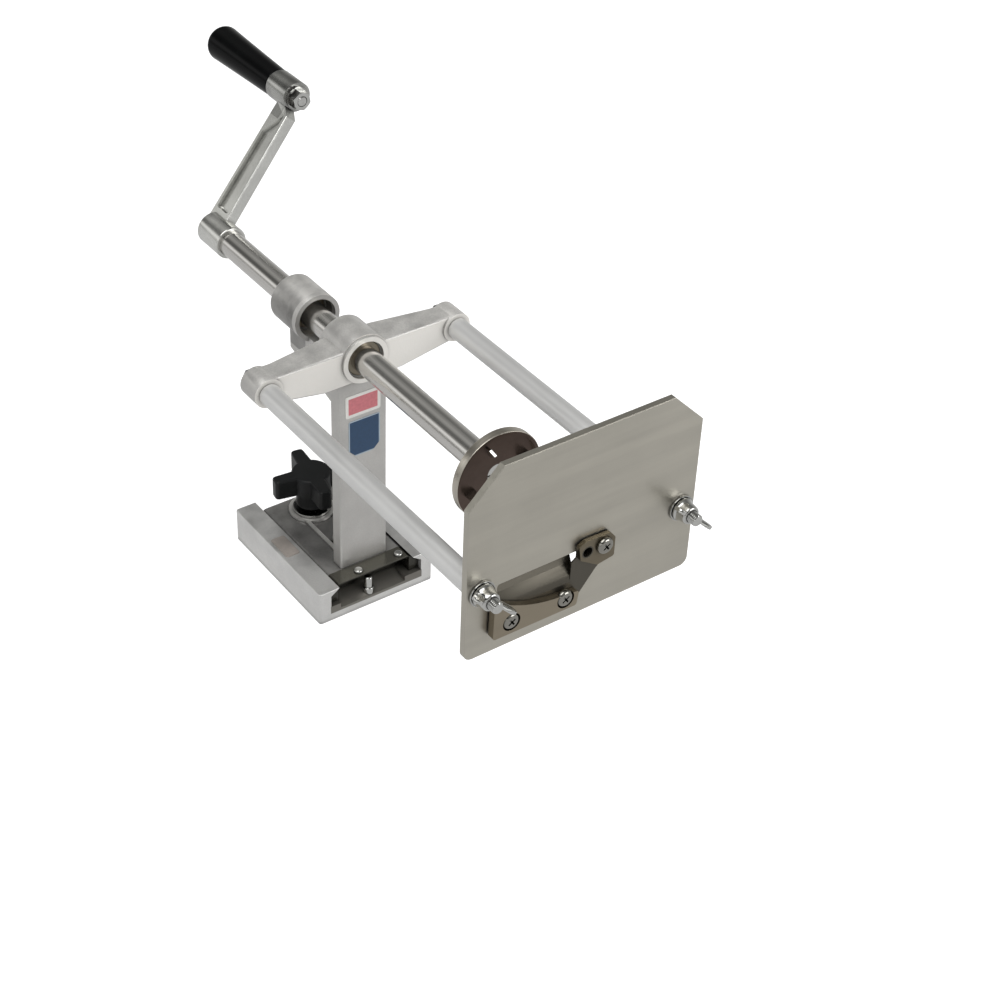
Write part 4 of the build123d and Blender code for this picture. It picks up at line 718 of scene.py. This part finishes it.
class CUTTER_OT_plate(PieceOperator, bpy.types.Operator):
    """Finish the rods, the blade plate, the blade and its holders"""

    bl_idname = "cutter.plate"
    bl_label = "Plate"

    def execute(self, context):
        paint_nodes(lined_metal("rod_metal", colour=tuple(self.finish.rod_colour)), "left_rod", "right_rod")
        paint_nodes(lined_metal("plate_metal", colour=tuple(self.finish.plate_colour)), "blade_plate")
        paint_nodes(lined_metal("blade_steel"), "coring_tube", "cutting_blade")
        paint_nodes(lined_metal("bar_metal"), "blade_clamp_bar")
        paint_nodes(lined_metal("bracket_metal"), "blade_bracket")
        soften(self.sizes.blade_edge, 2, "blade_clamp_bar", "blade_bracket", "cutting_blade")
        return {"FINISHED"}


class CUTTER_OT_labels(PieceOperator, bpy.types.Operator):
    """Finish the two labels and the rail's pad"""

    bl_idname = "cutter.labels"
    bl_label = "Labels"

    def execute(self, context):
        for name, rim, field, width in LABELS:
            low, high = frame_box(name)
            inner = {
                "X": ((low.x + width) * MM, (high.x - width) * MM),
                "Z": ((low.z + width) * MM, (high.z - width) * MM),
            }
            paint_nodes(label_face(name + "_face", rim, field, inner), name)
        paint_nodes(cast_metal("pad_metal", PAD_TONE, rough=0.5, grain=0.0001).material, "rail_pad")
        return {"FINISHED"}


# ---------------------------------------------------------------- stage
def soft_light(name, place, target, size, power):
    """A rectangular lamp that faces its target."""
    data = bpy.data.lights.new(name, "AREA")
    data.shape = "RECTANGLE"
    data.size, data.size_y = size
    data.energy = power
    light = bpy.data.objects.new(name, data)
    light.location = place
    light.rotation_euler = (Vector(target) - Vector(place)).to_track_quat("-Z", "Y").to_euler()
    bpy.context.scene.collection.objects.link(light)


def by_ray(tree, kind, shader, other):
    """A shader, and another one in its place for one kind of ray."""
    mixer = tree.nodes.new("ShaderNodeMixShader")
    path = tree.nodes.new("ShaderNodeLightPath")
    tree.links.new(path.outputs[f"Is {kind} Ray"], mixer.inputs["Fac"])
    tree.links.new(shader, mixer.inputs[1])
    tree.links.new(other, mixer.inputs[2])
    return mixer.outputs["Shader"]


def studio_world(strength):
    """White to the camera, even to matt surfaces, banded like a studio's softboxes in reflections."""
    world = bpy.data.worlds.new("room")
    world.use_nodes = True
    tree = world.node_tree
    tree.nodes.clear()
    direction = tree.nodes.new("ShaderNodeTexCoord").outputs["Generated"]
    axes = tree.nodes.new("ShaderNodeSeparateXYZ")
    tree.links.new(direction, axes.inputs["Vector"])
    angle = tree.nodes.new("ShaderNodeMath")
    angle.operation = "ARCTAN2"
    tree.links.new(axes.outputs["Z"], angle.inputs[0])
    tree.links.new(axes.outputs["X"], angle.inputs[1])
    turn = tree.nodes.new("ShaderNodeMapRange")
    turn.inputs["From Min"].default_value = -math.pi
    turn.inputs["From Max"].default_value = math.pi
    tree.links.new(angle.outputs["Value"], turn.inputs["Value"])
    bands = tree.nodes.new("ShaderNodeValToRGB")
    bands.color_ramp.interpolation = "B_SPLINE"
    fill_ramp(bands.color_ramp, [
        ((degrees + 180.0) / 360.0, (level, level, level * ROOM_BLUE)) for degrees, level in ROOM_BANDS
    ])
    tree.links.new(turn.outputs["Result"], bands.inputs["Fac"])
    banded, white, even = (tree.nodes.new("ShaderNodeBackground") for _ in range(3))
    tree.links.new(bands.outputs["Color"], banded.inputs["Color"])
    white.inputs["Color"].default_value = (1.0, 1.0, 1.0, 1.0)
    even.inputs["Color"].default_value = (strength, strength, strength, 1.0)
    lit = by_ray(tree, "Diffuse", banded.outputs["Background"], even.outputs["Background"])
    seen = by_ray(tree, "Camera", lit, white.outputs["Background"])
    out = tree.nodes.new("ShaderNodeOutputWorld")
    tree.links.new(seen, out.inputs["Surface"])
    return world


def floor_material(glow):
    """White paper floor: keeps soft shadows for the camera, grey in reflections."""
    g = Graph("floor_white")
    low_tone, high_tone = FLOOR_TONES
    paper = g.ramp(g.noise(3.0, detail=2.0), (0.3, low_tone), (0.7, high_tone))
    g.set(Base_Color=paper, Roughness=0.95, Specular_IOR_Level=0.0)
    glowing, lift = (g.tree.nodes.new("ShaderNodeEmission") for _ in range(2))
    glowing.inputs["Strength"].default_value = glow
    lift.inputs["Strength"].default_value = FLOOR_LIFT
    lifted = g.tree.nodes.new("ShaderNodeAddShader")
    g.join(g.shader.outputs["BSDF"], lifted.inputs[0])
    g.join(lift.outputs["Emission"], lifted.inputs[1])
    seen = by_ray(g.tree, "Camera", g.shader.outputs["BSDF"], lifted.outputs["Shader"])
    g.join(by_ray(g.tree, "Glossy", seen, glowing.outputs["Emission"]), g.output.inputs["Surface"])
    return g.material


def photo_camera(lens):
    """The camera of the photograph."""
    data = bpy.data.cameras.new("camera")
    data.lens = lens
    data.sensor_width = SENSOR_WIDTH
    data.clip_start, data.clip_end = CLIP_RANGE
    camera = bpy.data.objects.new("camera", data)
    turned = Matrix((CAMERA_RIGHT, -CAMERA_DOWN, -CAMERA_AHEAD)).transposed().to_4x4()
    camera.matrix_world = Matrix.Translation(CAMERA_PLACE) @ turned
    return camera


class CUTTER_OT_stage(PieceOperator, bpy.types.Operator):
    """Set the floor, the lights and the camera"""

    bl_idname = "cutter.stage"
    bl_label = "Stage"

    def execute(self, context):
        stage = context.scene.cutter_stage
        corners = [(x * FLOOR_REACH, y * FLOOR_REACH, 0) for x, y in ((-1, -1), (1, -1), (1, 1), (-1, 1))]
        mesh = bpy.data.meshes.new("floor")
        mesh.from_pydata(corners, [], [(0, 1, 2, 3)])
        floor = bpy.data.objects.new("floor", mesh)
        context.scene.collection.objects.link(floor)
        floor.data.materials.append(floor_material(stage.floor_glow))
        context.scene.world = studio_world(stage.room_light)
        for name, power, place, target, size in SOFTBOXES:
            soft_light(name, place, target, size, getattr(stage, power))
        camera = photo_camera(stage.lens)
        context.scene.collection.objects.link(camera)
        context.scene.camera = camera
        context.scene.view_settings.view_transform = "Standard"
        return {"FINISHED"}


# ---------------------------------------------------------------- add-on
class CUTTER_PT_sidebar(bpy.types.Panel):
    bl_label = "Ribbon Cutter"
    bl_idname = "CUTTER_PT_sidebar"
    bl_space_type = "VIEW_3D"
    bl_region_type = "UI"
    bl_category = "Cutter"

    def draw(self, context):
        scene = context.scene
        for settings in (scene.cutter_finish, scene.cutter_sizes, scene.cutter_stage):
            box = self.layout.box()
            for key in settings.__annotations__:
                box.prop(settings, key)
        for operator in OPERATORS:
            self.layout.operator(operator.bl_idname)


OPERATORS = (
    CUTTER_OT_castings,
    CUTTER_OT_drive,
    CUTTER_OT_fittings,
    CUTTER_OT_crank,
    CUTTER_OT_plate,
    CUTTER_OT_labels,
    CUTTER_OT_stage,
)
CLASSES = (CutterFinish, CutterSizes, CutterStage, *OPERATORS, CUTTER_PT_sidebar)


def register():
    for cls in CLASSES:
        bpy.utils.register_class(cls)
    bpy.types.Scene.cutter_finish = PointerProperty(type=CutterFinish)
    bpy.types.Scene.cutter_sizes = PointerProperty(type=CutterSizes)
    bpy.types.Scene.cutter_stage = PointerProperty(type=CutterStage)


def unregister():
    del bpy.types.Scene.cutter_stage
    del bpy.types.Scene.cutter_sizes
    del bpy.types.Scene.cutter_finish
    for cls in reversed(CLASSES):
        bpy.utils.unregister_class(cls)


def main():
    register()
    bpy.ops.cutter.castings()
    bpy.ops.cutter.drive()
    bpy.ops.cutter.fittings()
    bpy.ops.cutter.crank()
    bpy.ops.cutter.plate()
    bpy.ops.cutter.labels()
    bpy.ops.cutter.stage()


if __name__ == "__main__":
    main()
